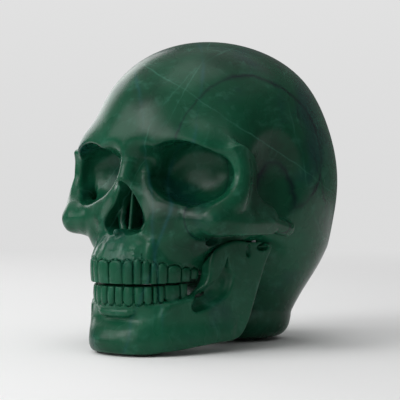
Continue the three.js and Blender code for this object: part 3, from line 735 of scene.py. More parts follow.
TOOTH_ARCH = Arch([
    (0, -75.9), (4, -75.6), (9, -74.4), (15, -71), (20.5, -65.5), (24.5, -58.5), (27.3, -50),
    (29, -41), (30, -33),
])


# Cranium --------------------------------------------------------------------------------


@dataclass(frozen=True)
class Vault:
    """Ellipsoid whose upper half is read at a height share raised to a power, which fills
    out its shoulders, more at the back than over the brow."""

    middle: Point = (0, 6, 92)
    radii: Point = (56, 71, 66)
    power: float = 1.3
    more_behind: float = 0.1  # added to the power at the back, taken off at the brow
    reach: float = 40  # distance over which the power changes

    def __call__(self, x: Array, y: Array, z: Array) -> Array:
        """Field of the ellipsoid at the raised height."""
        base, tall = self.middle[2], self.radii[2]
        share = np.clip((z - base) / tall, 0, 1.2)
        power = self.power + self.more_behind * np.clip(y / self.reach, -1, 1)
        raised = np.where(z > base, base + tall * share**power, z)
        return Ellipsoid(self.middle, self.radii)(x, y, raised)


@dataclass(frozen=True)
class RootNotch:
    """Space before the nose root. Its side wall stands back farther below and above a waist,
    and its top falls toward the middle."""

    facing: Spot = (0.788, 0.616)  # direction of the side wall, outward and back
    waist: Spot = (89, 96)  # heights between which the side wall is upright
    away: float = 40.2  # of the side wall at the waist
    spread_below: float = 0.55
    spread_above: float = 0.3
    spread_outward: float = 0.065  # added to the spread above, for each step outward
    back: float = -50.5
    outer: float = 30
    bottom: float = 72
    top_slope: float = 0.8

    def __call__(self, x: Array, y: Array, z: Array) -> Array:
        """Field below zero in the space."""
        low, high = self.waist
        spread = self.spread_above + self.spread_outward * np.minimum(x, 20)
        reach = (self.away + self.spread_below * np.maximum(low - z, 0)
                 + spread * np.maximum(z - high, 0))
        side = reach - self.facing[0] * x + self.facing[1] * y
        notch = soft_max(side, soft_max(y - self.back, x - self.outer, 3), 2)
        tilt = 0.5 * np.clip((18 - x) / 10, 0, 1)
        fall = tilt * np.minimum(y - self.back, 0)
        top = self.top_slope * (z - high - 0.2 * np.minimum(x, 16) + fall)
        return soft_max(notch, soft_max(top, self.bottom - z, 2), 5)


@dataclass(frozen=True)
class CheekPlate:
    """Side plate of the face: its side outline, thick as the plate, bowed inward as the
    square of the distance before the place where it is flat."""

    side: Sequence[Spot] = (
        (-45, 100), (-38, 101.5), (-29.4, 97), (-27.3, 90), (-26.6, 80),
        (-21.8, 75.1), (-12.5, 70.9), (-9.2, 65.1), (-10.8, 59.8), (-17, 57.4), (-30, 58.2),
        (-43, 59.5), (-53, 61), (-57, 66), (-53, 72), (-47, 76), (-42.5, 82), (-40.5, 88),
        (-41.5, 94.5),
    )
    place: float = 50.2
    half_thick: float = 3.6
    flat_from: float = -36
    bow: float = 0.022

    def __call__(self, x: Array, y: Array, z: Array) -> Array:
        """Field of the plate."""
        bow = self.bow * np.minimum(0, y - self.flat_from) ** 2
        face = np.abs(x - (self.place - bow)) - self.half_thick
        return soft_max(Outline(self.side)(y, z), face, 2.2)


@dataclass(frozen=True)
class ToothRidge:
    """Ridge of the upper jaw that carries the teeth: a band along the dental arch."""

    offsets: Sequence[Spot] = (
        (34, -1.6), (42, -1.5), (48, -2), (54, -4.6), (60, -8.6), (67, -12.6), (76, -16.5),
    )  # distance outward from the arch over the height
    depth: float = 30
    heights: Spot = (40, 76)
    back: float = -36

    def __call__(self, x: Array, y: Array, z: Array) -> Array:
        """Field of the ridge."""
        out, _ = TOOTH_ARCH.measure(x, y)
        ridge = soft_max(out - Profile(self.offsets)(z), -(out + self.depth), 2)
        low, high = self.heights
        ridge = soft_max(ridge, np.maximum(z - high, low - z), 5)
        return soft_max(ridge, y - self.back, 4)


@dataclass(frozen=True)
class EyeSocket:
    """Hollow whose walls taper behind the rim's outline, closed by a shallow bowl."""

    rim: Sequence[Spot] = (
        (18, 101), (23.6, 103.2), (30.3, 103.6), (37.6, 101.6), (43.8, 98), (48, 93.2),
        (49.8, 88), (49, 82), (45.2, 77), (39.2, 73.6), (32.5, 72.6), (25.4, 74.2),
        (18.6, 77.8), (13, 82.4), (10.5, 87), (11.3, 92), (14, 97),
    )
    bowl: Ellipsoid = Ellipsoid((28.5, -50, 90), (25, 16.5, 20.5), yaw=24)
    front: Spot = (12, -52)  # place in plan from which the depth counts
    turn: float = 0.4  # how much farther back the rim lies for each step outward
    taper: float = 0.16
    drift: Spot = (0.12, 0.05)  # inward and up, for each step of depth

    def __call__(self, x: Array, y: Array, z: Array) -> Array:
        """Field below zero in the hollow."""
        deep = np.maximum(y - self.front[1] - self.turn * (x - self.front[0]), 0)
        inward, up = self.drift
        wall = Outline(self.rim)(x + inward * deep, z - up * deep) + self.taper * deep
        return soft_max(wall, self.bowl(x, y, z), 6)


@dataclass(frozen=True)
class NoseHole:
    """Opening of the nose on both sides of its dividing wall."""

    rim: Sequence[Spot] = (
        (0, 84), (3.8, 79.5), (7.7, 73.5), (11.3, 68), (12.7, 64), (11.2, 60.7), (5.6, 58.9),
        (0, 60.4),
    )
    front: float = -62
    back: float = -47
    taper: float = 0.12
    wall_half: float = 1.3
    wall_front: Point = (-63, -60.5, 60)  # where it is thin, where it starts, at what height

    def __call__(self, x: Array, y: Array, z: Array) -> Array:
        """Field below zero in the opening."""
        rim = Outline([*self.rim, *[(-u, v) for u, v in self.rim[-2:0:-1]]])
        hole = soft_max(rim(x, z) + self.taper * (y - self.front), y - self.back, 3)
        thin, start, height = self.wall_front
        wall = soft_max(x - self.wall_half + 0.1 * (y - thin),
                        -(y - start - 0.12 * (z - height)), 1.5)
        return soft_max(hole, -wall, 1.5)


def root_ridge(place: float, height: float, radius: float) -> Rod:
    """Ridge over the root of a front tooth, from the gum line up to a height."""
    front = np.interp(place, TOOTH_ARCH.line[:, 0], TOOTH_ARCH.line[:, 1])
    return Rod(((place, front + 6, height), (place, front + 3.2, 47)), (radius * 0.7, radius))


@dataclass
class Cranium:
    """Vault, brow, sockets, nose opening, cheek arches, upper jaw and upper teeth, as one
    casting. Sizes are millimetres in the sculpting axes, of the left half."""

    vault: Vault = Vault()
    braincase: Sequence[Step] = (
        join(Ellipsoid((20, 22, 86), (37, 46, 46)), 16),  # fullness of the side
        join(Ellipsoid((0, 30, 66), (49, 50, 50)), 14),  # fullness of the back
        join(Rod(((0, 30, 52), (0, 27, 16)), (43, 28.5), squeeze=0.92), 10),  # neck foot
        join(Ellipsoid((0, -5, 66), (40, 50, 20)), 12),  # base
        carve(Ellipsoid((65, -15, 84), (19.5, 23, 31)), 8),  # temple
    )
    brow_and_nose: Sequence[Step] = (
        join(Ellipsoid((20, -42, 100), (27, 17, 15)), 14),  # brow
        carve(RootNotch(), 6),
        # Corner between the brow and the bridge
        join(Rod(((10.5, -51.5, 106), (12, -49.5, 101), (10.5, -47.5, 95)), (8, 6, 3)), 8),
        join(Rod(((0, -52, 105), (0, -57.3, 98), (0, -60.9, 91), (0, -63.6, 85.5)),
                 (8, 5, 3.7, 3.6)), 5),  # bridge
        join(Rod(((5.5, -50.5, 101), (6, -52.5, 92), (8.2, -55.5, 84), (12.2, -56, 75),
                  (14.5, -56, 65)), (4.2, 3.6, 3.6, 4.4, 5)), 4.5),  # beside the nose
    )
    cheek: Sequence[Step] = (
        join(CheekPlate(), 5),
        join(Rod(((11.5, -51.5, 82.5), (17.5, -51.5, 75.5), (27, -52, 70), (36, -48.5, 67.5),
                  (44, -42, 69)), (3.5, 4, 5, 5, 5)), 9),  # under the socket
        join(Rod(((38, -43, 104), (46.5, -40, 99.5), (51.2, -38, 92), (52, -38, 86),
                  (52.5, -39.8, 80.5), (51, -42.5, 74.5), (47, -48, 69)),
                 (3.4, 4, 4.1, 4.2, 4.6, 5.4, 5.5)), 6),  # beside the socket
    )
    upper_jaw: Sequence[Step] = (
        join(Ellipsoid((14, -42, 62), (23, 22, 22)), 8),  # body
        join(ToothRidge(), 6),
    )
    cheekbone: Sequence[Step] = (
        join(Ellipsoid((36, -48, 65), (12, 9, 8)), 8),  # cheekbone's body
        join(Rod(((45.5, -50.5, 65), (49, -42, 64.6), (50, -29, 64.2), (49.3, -15, 64.6)),
                 (6.8, 6.4, 5.6, 5.2)), 5),  # arch
        # Rounded end of the arch
        join(Rod(((50.3, -14, 64.5), (50, -4, 62.2), (49.6, 3, 60.8)), (4.6, 4.4, 4.2)), 1.2),
        carve(Ellipsoid((27, -67, 60), (9, 6, 9)), 7),  # hollow before the cheekbone
        # Undercut below the cheekbone
        carve(Rod(((33, -44, 57), (38, -36, 56.5), (42, -22, 57)), (2.5, 4.5, 3.5)), 3),
    )
    behind_teeth: Sequence[Step] = (
        join(Rod(((25, -33, 43), (25.5, -28, 50)), (5, 6)), 3),  # behind the last tooth
        join(Ellipsoid((0, -24, 41), (22, 36, 11)), 6),  # palate
    )
    hollows: Sequence[Step] = (
        carve(EyeSocket(), 3),
        carve(Ellipsoid((49, -23, 45), (15.5, 32, 13.2)), 3),  # under the cheek arch
        carve(NoseHole(), 1.4),
    )
    inside_nose: Sequence[Step] = (
        join(Rod(((8.8, -54, 72), (8.8, -55.5, 65), (6.6, -56.5, 60.5)), (2, 2)), 1.5),  # curl
        join(Rod(((0, -64, 58), (0, -69.5, 59.6)), (3, 1.6)), 3),  # spine
    )
    roots: Sequence[Step] = (
        join(root_ridge(4.3, 53, 1.5), 6),
        join(root_ridge(11.5, 52, 1.2), 6),
        join(root_ridge(17, 53.5, 1.6), 6),
    )
    teeth: ToothRow = ToothRow(
        widths=(8.2, 5.4, 4.3, 4.2, 3.6, 5.3, 7.9, 5.8, 5.3),
        gum_heights=(46.5, 46.6, 47.4, 46.6, 45.6, 45, 43.9, 42.6, 42),
        bite_heights=(34.9, 34.9, 34.9, 34.9, 34.9, 35, 35.2, 35.6, 36.6),
        set_back=0.4,
        lean=0.5,
    )
    floor_blend: float = 9

    def solid(self, x: Array, y: Array, z: Array) -> Array:
        """Field of the whole casting at places of the left half."""
        body = self.vault(x, y, z)
        for steps in (self.braincase, self.brow_and_nose, self.cheek, self.upper_jaw,
                      self.cheekbone, self.behind_teeth, self.hollows, self.inside_nose,
                      self.roots):
            body = sculpted(body, steps, x, y, z)
        body = self.teeth.field(body, *TOOTH_ARCH.measure(x, y), z)
        return soft_max(body, CASTING_FLOOR - z, self.floor_blend)

    def lattice(self) -> Lattice:
        """Cells fine over the face and its teeth, growing toward the back and the crown."""
        return Lattice(
            x=0.62 * np.arange(101),
            y=graded(-80, -79.5, 6, 82, 0.62, 1.5),
            z=graded(-1, 33, 106, 160, 0.6, 1.5),
        )


# Lower jaw ------------------------------------------------------------------------------


@dataclass
class Mandible:
    """Chin, body, upright branches and lower teeth, as one casting."""

    teeth: ToothRow = ToothRow(
        widths=(2.6, 5.2, 5.8, 5.3, 4.5, 2.9, 3.6, 9.1, 4.8),
        gum_heights=(25, 25, 25, 25.2, 25.4, 25.8, 26.2, 26.8, 27.6),
        bite_heights=(34.5, 34.5, 34.5, 34.5, 34.5, 34.6, 34.8, 35.2, 36),
        set_back=1.9,
        lean=0.15,
        shares_middle=True,
    )
    arch: Arch = field(default_factory=lambda: Arch([
        (0, -72.8), (8, -72.2), (16, -69.3), (23, -62.5), (28.3, -53), (32.3, -42),
        (35.5, -30), (38.5, -19), (41, -8), (43, 4),
    ]))
    branch_side: Sequence[Spot] = (
        (-62, 5), (-46, 4.5), (-31, 5.3), (-21, 6.6), (-15, 14), (-9.4, 31), (-5, 44),
        (-1, 52), (-3, 56.5), (-14, 56), (-24, 57), (-31, 55.5), (-37.4, 52), (-39.6, 46),
        (-39.8, 40), (-42, 34), (-48, 29), (-62, 24),
    )
    hollow_side: Sequence[Spot] = (
        (-29.2, 48.5), (-28, 43.6), (-26, 39.6), (-26.2, 35), (-28.6, 29.6), (-33, 26),
        (-39, 23.7), (-45, 23), (-46.5, 27), (-43.8, 31), (-41.6, 32.3), (-36.5, 36),
        (-34.4, 38.5), (-31.2, 43),
    )
    body_face: Sequence[Spot] = (
        (-4, -3), (0, -0.4), (5, 1.2), (11, 1), (18, -0.6), (26, -1.2), (32, -1.8),
    )  # distance outward from the arch over the height
    chin_face: Sequence[Spot] = (
        (-4, 0), (0, 1.4), (7, 2.6), (13, 1), (19, -2.4), (27, 0.2),
    )  # added at the middle
    underside: Sequence[Spot] = ((0, 0.3), (0.18, 0.9), (0.38, 3), (0.62, 6), (1, 8))
    body_depth: float = 10
    body_back: float = -24
    chin_step: Step = join(
        Rod(((0, -71.3, 21.5), (7, -70.6, 21.5), (10, -69.4, 22)), (2.4, 2.2, 1.6)), 2.5)
    branch_half: float = 3.2
    hollow_depth: float = 3
    branch_cuts: Sequence[Step] = (
        carve(Rod(((33.5, -36.5, 32), (32, -42, 27.5), (31, -46, 24.5)), (4, 5, 3)), 2),  # pit
        carve(Ellipsoid((41.6, -17, 51.2), (3, 1.7, 3.4)), 1),  # groove
        carve(Ellipsoid((43.4, -8, 52.8), (3, 4, 1.8)), 1),  # notch at the joint
    )
    bond_gap: float = 0.3
    bond_from: float = 30  # height over which the bones come near each other
    cranium: Field = field(default_factory=lambda: Cranium().solid)

    def solid(self, x: Array, y: Array, z: Array) -> Array:
        """Field of the whole casting at places of the left half."""
        out, along = self.arch.measure(x, y)
        body = self._body(out, along / self.arch.length, x, y, z)
        body = sculpted(body, [self.chin_step], x, y, z)
        body = sculpted(self._branch(body, out, y, z), self.branch_cuts, x, y, z)
        body = self.teeth.field(body, *TOOTH_ARCH.measure(x, y), z)
        close = (body < 2) & (z > self.bond_from)
        body[close] = np.maximum(
            body[close], self.bond_gap - self.cranium(x[close], y[close], z[close]))
        return np.maximum(body, CASTING_FLOOR - z)

    def _body(self, out: Array, share: Array, x: Array, y: Array, z: Array) -> Array:
        """Body under the teeth: a band along the arch whose face follows a profile over the
        height, fuller at the chin."""
        middle = np.clip(1 - (x / 20) ** 2, 0, 1)
        face = (Profile(self.body_face)(z) * np.clip(1 - (share - 0.5) * 2.2, 0, 1)
                + middle * Profile(self.chin_face)(z))
        band = soft_max(out - face, -(out + self.body_depth), 4)
        low, high = Profile(self.underside)(share), 25 + 6 * share
        band = soft_max(band, np.maximum(z - high, low - z), 4)
        return soft_max(band, y - self.body_back, 4)

    def _branch(self, body: Array, out: Array, y: Array, z: Array) -> Array:
        """Upright branch: its side outline, thick as the bone, with the crescent hollow whose
        floor lies a depth behind the arch."""
        middle = 0.05 * (z - 30) - 2.2
        thick = np.abs(out - middle) - self.branch_half
        plate = soft_max(Outline(self.branch_side)(y, z), thick, 2.6)
        wall = Outline(self.hollow_side)(y, z) + 0.3 * np.clip(1.3 - out, 0, 6)
        hollow = soft_max(wall, -out - self.hollow_depth, 3)
        return soft_max(soft_min(body, plate, 3), -hollow, 1.4)

    def lattice(self) -> Lattice:
        """Even fine cells over the whole casting."""
        return Lattice(
            x=0.62 * np.arange(81),
            y=graded(-78, -78, 4, 6, 0.62, 1),
            z=graded(-1, 0, 60, 62, 0.6, 1),
        )


# Finishes -------------------------------------------------------------------------------


class Graph:
    """Node tree under construction: adds nodes with their settings and links in one call."""

    def __init__(self, tree: Tree) -> None:
        """Keeps the tree."""
        self.tree = tree

    def add(self, kind: str, inputs: dict | None = None, **settings: object) -> bpy.types.Node:
        """New node.

        Args:
            kind: Blender's name of the node type.
            inputs: value or output socket for each input, by name or number.
            settings: properties of the node.

        Returns:
            The node.
        """
        node = self.tree.nodes.new(kind)
        for name, value in settings.items():
            setattr(node, name, value)
        for name, value in (inputs or {}).items():
            if isinstance(value, Socket):
                self.tree.links.new(value, node.inputs[name])
            else:
                node.inputs[name].default_value = value
        return node

    def math(self, operation: str, *values: object) -> Socket:
        """Result of a Math node on numbers or sockets."""
        node = self.add("ShaderNodeMath", dict(enumerate(values)), operation=operation)
        return node.outputs[0]

    def vector(self, operation: str, *values: object, **named: object) -> bpy.types.Node:
        """Vector Math node on vectors, numbers or sockets."""
        inputs = {**dict(enumerate(values)), **named}
        return self.add("ShaderNodeVectorMath", inputs, operation=operation)

    def noise(self, place: object, scale: object, **inputs: object) -> bpy.types.Node:
        """Noise texture, in four dimensions where a seed W is given."""
        return self.add("ShaderNodeTexNoise", {"Vector": place, "Scale": scale, **inputs},
                        noise_dimensions="4D" if "W" in inputs else "3D")

    def mix(self, share: object, a: object, b: object) -> Socket:
        """Colour that goes from a to b with the share."""
        node = self.add("ShaderNodeMix", {0: share, 6: a, 7: b}, data_type="RGBA")
        return node.outputs[2]

    def ease(self, value: object, low: float, high: float) -> Socket:
        """Smooth step of a value from zero at low to one at high."""
        node = self.add("ShaderNodeMapRange", {"Value": value, "From Min": low, "From Max": high},
                        interpolation_type="SMOOTHSTEP")
        return node.outputs["Result"]

    def between(self, share: object, low: float, high: float) -> Socket:
        """Value that goes evenly from low to high with the share."""
        node = self.add("ShaderNodeMapRange", {"Value": share, "To Min": low, "To Max": high})
        return node.outputs["Result"]


FLOAT, VECTOR = "NodeSocketFloat", "NodeSocketVector"


class Group(Graph):
    """Shader node group under construction, whose outputs are all values."""

    def __init__(self, name: str, inputs: Sequence[tuple[str, str, object]],
                 outputs: Sequence[str]) -> None:
        """Makes the group and its sockets.

        Args:
            name: the group's name.
            inputs: name, socket type and default of each input.
            outputs: name of each output.
        """
        super().__init__(bpy.data.node_groups.new(name, "ShaderNodeTree"))
        for label, kind, default in inputs:
            socket = self.tree.interface.new_socket(label, in_out="INPUT", socket_type=kind)
            if default is not None:
                socket.default_value = default
        for label in outputs:
            self.tree.interface.new_socket(label, in_out="OUTPUT", socket_type=FLOAT)
        self.given = self.add("NodeGroupInput").outputs
        self.result = self.add("NodeGroupOutput").inputs

    def give(self, label: str, value: Socket) -> None:
        """Links a value to one of the group's outputs."""
        self.tree.links.new(value, self.result[label])


def vein_sheet_group() -> Tree:
    """Vein of marble: a flat sheet through the block, bent by noise, that shows as a line
    where the surface cuts it. The mask is one on the sheet and falls to zero at its width."""
    group = Group(
        "vein_sheet",
        [("Vector", VECTOR, None), ("Direction", VECTOR, (1, 0, 0)), ("Distance", FLOAT, 0),
         ("Bend", FLOAT, 0.01), ("Bend Scale", FLOAT, 30), ("Width", FLOAT, 0.001),
         ("Fading", FLOAT, 0.5), ("Seed", FLOAT, 0)],
        ["Mask"],
    )
    given, math_of = group.given, group.math
    place, seed = given["Vector"], given["Seed"]
    wave = group.noise(place, given["Bend Scale"], W=seed, Detail=4, Roughness=0.55)
    bend = math_of("MULTIPLY", math_of("SUBTRACT", wave.outputs[0], 0.5), given["Bend"])
    across = group.vector("DOT_PRODUCT", place, given["Direction"]).outputs["Value"]
    sheet = math_of("SUBTRACT", across, given["Distance"])
    away = math_of("ABSOLUTE", math_of("ADD", sheet, bend))
    shade = group.noise(place, 55.0, W=seed, Detail=2).outputs[0]
    swell = math_of("MULTIPLY", given["Width"], math_of("MULTIPLY", shade, 2.0))
    line = math_of("SUBTRACT", 1.0, math_of("DIVIDE", away, swell))
    line = math_of("POWER", math_of("MAXIMUM", line, 0.0), 1.4)
    gone = math_of("SUBTRACT", 1.0, group.ease(shade, 0.36, 0.62))
    kept = math_of("SUBTRACT", 1.0, math_of("MULTIPLY", given["Fading"], gone))
    group.give("Mask", math_of("MULTIPLY", line, kept))
    return group.tree


def clouds_group() -> Tree:
    """Cloudy depth of the stone: broad drifts and smaller flecks, both pulled into streaks
    by a slower noise that moves the place where they are read."""
    group = Group(
        "stone_clouds",
        [("Vector", VECTOR, None), ("Scale", FLOAT, 20), ("Streak", FLOAT, 0.02),
         ("Seed", FLOAT, 0)],
        ["Broad", "Flecks"],
    )
    given = group.given
    seed = given["Seed"]
    drift = group.noise(given["Vector"], 14.0, W=seed, Detail=3).outputs["Color"]
    centred = group.vector("SUBTRACT", drift, (0.5, 0.5, 0.5)).outputs[0]
    moved = group.vector("SCALE", centred, Scale=given["Streak"]).outputs[0]
    place = group.vector("ADD", given["Vector"], moved).outputs[0]
    broad = group.noise(place, given["Scale"], W=seed, Detail=5, Roughness=0.55)
    fine_scale = group.math("MULTIPLY", given["Scale"], 9.0)
    flecks = group.noise(place, fine_scale, W=seed, Detail=4, Roughness=0.65)
    group.give("Broad", broad.outputs[0])
    group.give("Flecks", flecks.outputs[0])
    return group.tree


def grain_group() -> Tree:
    """Fine unevenness of a cast or pressed surface, as a height and a roughness share."""
    group = Group(
        "surface_grain",
        [("Vector", VECTOR, None), ("Scale", FLOAT, 900), ("Waviness", FLOAT, 0.5)],
        ["Height", "Variation"],
    )
    given = group.given
    fine = group.noise(given["Vector"], given["Scale"], Detail=3).outputs[0]
    slow_scale = group.math("MULTIPLY", given["Scale"], 0.07)
    slow = group.noise(given["Vector"], slow_scale, Detail=2).outputs[0]
    wavy = group.math("MULTIPLY", slow, given["Waviness"])
    group.give("Height", group.math("ADD", fine, wavy))
    group.give("Variation", slow)
    return group.tree


class Dressing(Graph):
    """Node material under construction, on Object coordinates."""

    def __init__(self, name: str, constants: dict[str, object] | None = None) -> None:
        """Starts the material and sets the constant values of its shader."""
        self.material = bpy.data.materials.new(name)
        self.material.use_nodes = True
        super().__init__(self.material.node_tree)
        self.shader = self.tree.nodes["Principled BSDF"]
        self.place = self.add("ShaderNodeTexCoord").outputs["Object"]
        for socket, value in (constants or {}).items():
            self.shader.inputs[socket].default_value = value

    def feed(self, socket: str, value: Socket) -> None:
        """Links a value to one of the shader's sockets."""
        self.tree.links.new(value, self.shader.inputs[socket])

    def group(self, tree: Tree, inputs: dict) -> bpy.types.NodeOutputs:
        """Outputs of a shared group placed on the Object coordinates, with its own values."""
        node = self.add("ShaderNodeGroup", {"Vector": self.place, **inputs}, node_tree=tree)
        return node.outputs

    def bump(self, height: Socket, strength: float, distance: float) -> None:
        """Bends the shader's normal by a height."""
        node = self.add("ShaderNodeBump", {
            "Height": height, "Strength": strength, "Distance": distance})
        self.feed("Normal", node.outputs["Normal"])


@dataclass(frozen=True)
class Vein:
    """One vein sheet of the marble, in metres."""

    direction: Point
    distance: float
    width: float
    bend: float
    scale: float
    fading: float
    strength: float


@dataclass(frozen=True)
class GreenMarble:
    """Deep green resin marble with a satin gloss."""

    deep: Point = (0.0012, 0.021, 0.0105)
    body: Point = (0.0035, 0.055, 0.026)
    pale: Point = (0.008, 0.090, 0.045)
    teal: Point = (0.004, 0.040, 0.036)
    dark_vein: Point = (0.001, 0.008, 0.012)
    teal_vein: Point = (0.012, 0.085, 0.10)
    light_vein: Point = (0.05, 0.19, 0.13)
    roughness: float = 0.26
    dark_veins: Sequence[Vein] = (
        Vein((-0.937, 0.336, -0.097), -0.0571, 0.0010, 0.006, 40, 0.4, 0.9),
        Vein((0.62, 0.71, 0.33), 0.0790, 0.0008, 0.03, 24, 0.7, 0.7),
    )
    teal_veins: Sequence[Vein] = (
        Vein((-0.552, -0.781, 0.293), 0.0548, 0.0014, 0.006, 26, 0.75, 0.4),
        Vein((-0.73, -0.677, -0.094), 0.0249, 0.0014, 0.010, 30, 0.8, 0.35),
    )
    light_veins: Sequence[Vein] = (
        Vein((0.657, 0.577, -0.485), -0.0746, 0.0004, 0.010, 34, 0.9, 0.5),
        Vein((-0.866, -0.458, -0.199), -0.0696, 0.0005, 0.012, 34, 0.9, 0.4),
        Vein((0.459, 0.324, 0.827), 0.1019, 0.0005, 0.008, 24, 0.6, 0.6),
        Vein((0.885, 0.194, -0.423), -0.0453, 0.0005, 0.012, 34, 0.9, 0.45),
        Vein((-0.71, 0.52, 0.47), 0.0500, 0.0005, 0.03, 20, 0.7, 0.5),
    )

    def material(self, clouds: Tree, sheet: Tree, grain: Tree) -> Material:
        """Builds the node material from the shared groups."""
        dress = Dressing("marble_finish", {"IOR": 1.48, "Specular IOR Level": 0.2})
        dress.feed("Base Color", self._veined(dress, sheet, self._stone(dress, clouds)))
        surface = dress.group(grain, {"Scale": 1100.0, "Waviness": 2.5})
        dress.feed("Roughness", dress.between(
            surface["Variation"], self.roughness - 0.05, self.roughness + 0.07))
        dress.bump(surface["Height"], 0.10, 0.0004)
        return dress.material

    def _stone(self, dress: Dressing, clouds: Tree) -> Socket:
        """Colour of the stone between its veins: light and dark clouds, teal drifts and pale
        flecks."""
        cloud = dress.group(clouds, {"Scale": 17.0, "Streak": 0.05, "Seed": 3.0})
        pale_share = dress.ease(cloud["Broad"], 0.42, 0.68)
        colour = dress.mix(pale_share, (*self.body, 1), (*self.pale, 1))
        colour = dress.mix(dress.ease(cloud["Broad"], 0.48, 0.30), colour, (*self.deep, 1))
        blue = dress.group(clouds, {"Scale": 26.0, "Streak": 0.06, "Seed": 8.0})
        drift = dress.math("MULTIPLY", dress.ease(blue["Broad"], 0.52, 0.70), 0.8)
        colour = dress.mix(drift, colour, (*self.teal, 1))
        speckle = dress.math("MULTIPLY", dress.ease(cloud["Flecks"], 0.50, 0.72), 0.28)
        return dress.mix(speckle, colour, (*self.light_vein, 1))

    def _veined(self, dress: Dressing, sheet: Tree, colour: Socket) -> Socket:
        """Colour with each kind of vein laid over it."""
        for tone, veins in ((self.teal_vein, self.teal_veins), (self.dark_vein, self.dark_veins),
                            (self.light_vein, self.light_veins)):
            for number, vein in enumerate(veins):
                mask = dress.group(sheet, {
                    "Direction": Vector(vein.direction).normalized(),
                    "Distance": vein.distance, "Bend": vein.bend, "Bend Scale": vein.scale,
                    "Width": vein.width, "Fading": vein.fading, "Seed": 11.0 + number})["Mask"]
                colour = dress.mix(dress.math("MULTIPLY", mask, vein.strength), colour,
                                   (*tone, 1))
        return colour


@dataclass(frozen=True)
class DrawnSteel:
    """Plain drawn wire of the hidden pins."""

    colour: Point = (0.45, 0.46, 0.47)
    bright: Point = (0.6, 0.61, 0.62)
    roughness: float = 0.38

    def material(self, grain: Tree) -> Material:
        """Builds the node material."""
        dress = Dressing("steel_finish", {"Metallic": 1.0})
        drawn = dress.add("ShaderNodeMapping", {"Vector": dress.place, "Scale": (1, 1, 0.05)})
        surface = dress.group(grain, {"Vector": drawn.outputs[0], "Scale": 4000.0})
        dress.feed("Base Color", dress.mix(
            surface["Variation"], (*self.colour, 1), (*self.bright, 1)))
        dress.feed("Roughness", dress.between(
            surface["Variation"], self.roughness - 0.08, self.roughness + 0.1))
        return dress.material


@dataclass(frozen=True)
class PadFinish:
    """Dark matt pad under the casting."""

    colour: Point = (0.02, 0.024, 0.022)
    worn: Point = (0.05, 0.055, 0.05)
    roughness: float = 0.85

    def material(self, grain: Tree) -> Material:
        """Builds the node material."""
        dress = Dressing("pad_finish", {"Roughness": self.roughness})
        surface = dress.group(grain, {"Scale": 2600.0, "Waviness": 0.3})
        dress.feed("Base Color", dress.mix(
            surface["Variation"], (*self.colour, 1), (*self.worn, 1)))
        dress.bump(surface["Height"], 0.5, 0.0003)
        return dress.material


# Pads -----------------------------------------------------------------------------------


@dataclass
class Pads:
    """Round pads under the chin and the foot, each a flat disc with rounded edges."""

    around: int = 48
    rounding: float = 0.0003
    inner_share: float = 0.6  # radius of the ring round the middle, a share of the flat's
    edge_steps: int = 9
    nodes: Sequence[str] = (
        "chin_pad_left", "chin_pad_right", "foot_pad_left", "foot_pad_right",
    )

    def build(self, maker: MeshMaker, material: Material) -> None:
        """Makes each pad in its CAD node's box: a profile carried round the pad's axis, which
        goes out along the underside, round the edge and back in along the top."""
        for node in self.nodes:
            low, high = (np.array(corner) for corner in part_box(node))
            radius, height = (high[0] - low[0]) / 2, high[2] - low[2]
            r, flat = self.rounding, radius - self.rounding
            bend = np.linspace(-math.pi / 2, math.pi / 2, self.edge_steps)
            inner = flat * self.inner_share
            out = np.concatenate([[0.0, inner], flat + r * np.cos(bend), [inner, 0.0]])
            lift = np.where(bend < 0, r, height - r) + r * np.sin(bend)
            up = np.concatenate([[0, 0], lift, [height, height]])
            points, faces = turned(out, up, self.around)
            middle = (*((low + high) / 2)[:2], low[2])
            mesh = maker.mesh_of_faces(node, points + np.array(middle), faces)
            maker.place(mesh, f"{node}_disc", [node], Slot.PAD, material)
            log.info("%s: disc of %.1f mm", node, 2 * radius / MM)


# Studio ---------------------------------------------------------------------------------


LAMP_AIM = (0, 0, 0.08)  # middle of the skull


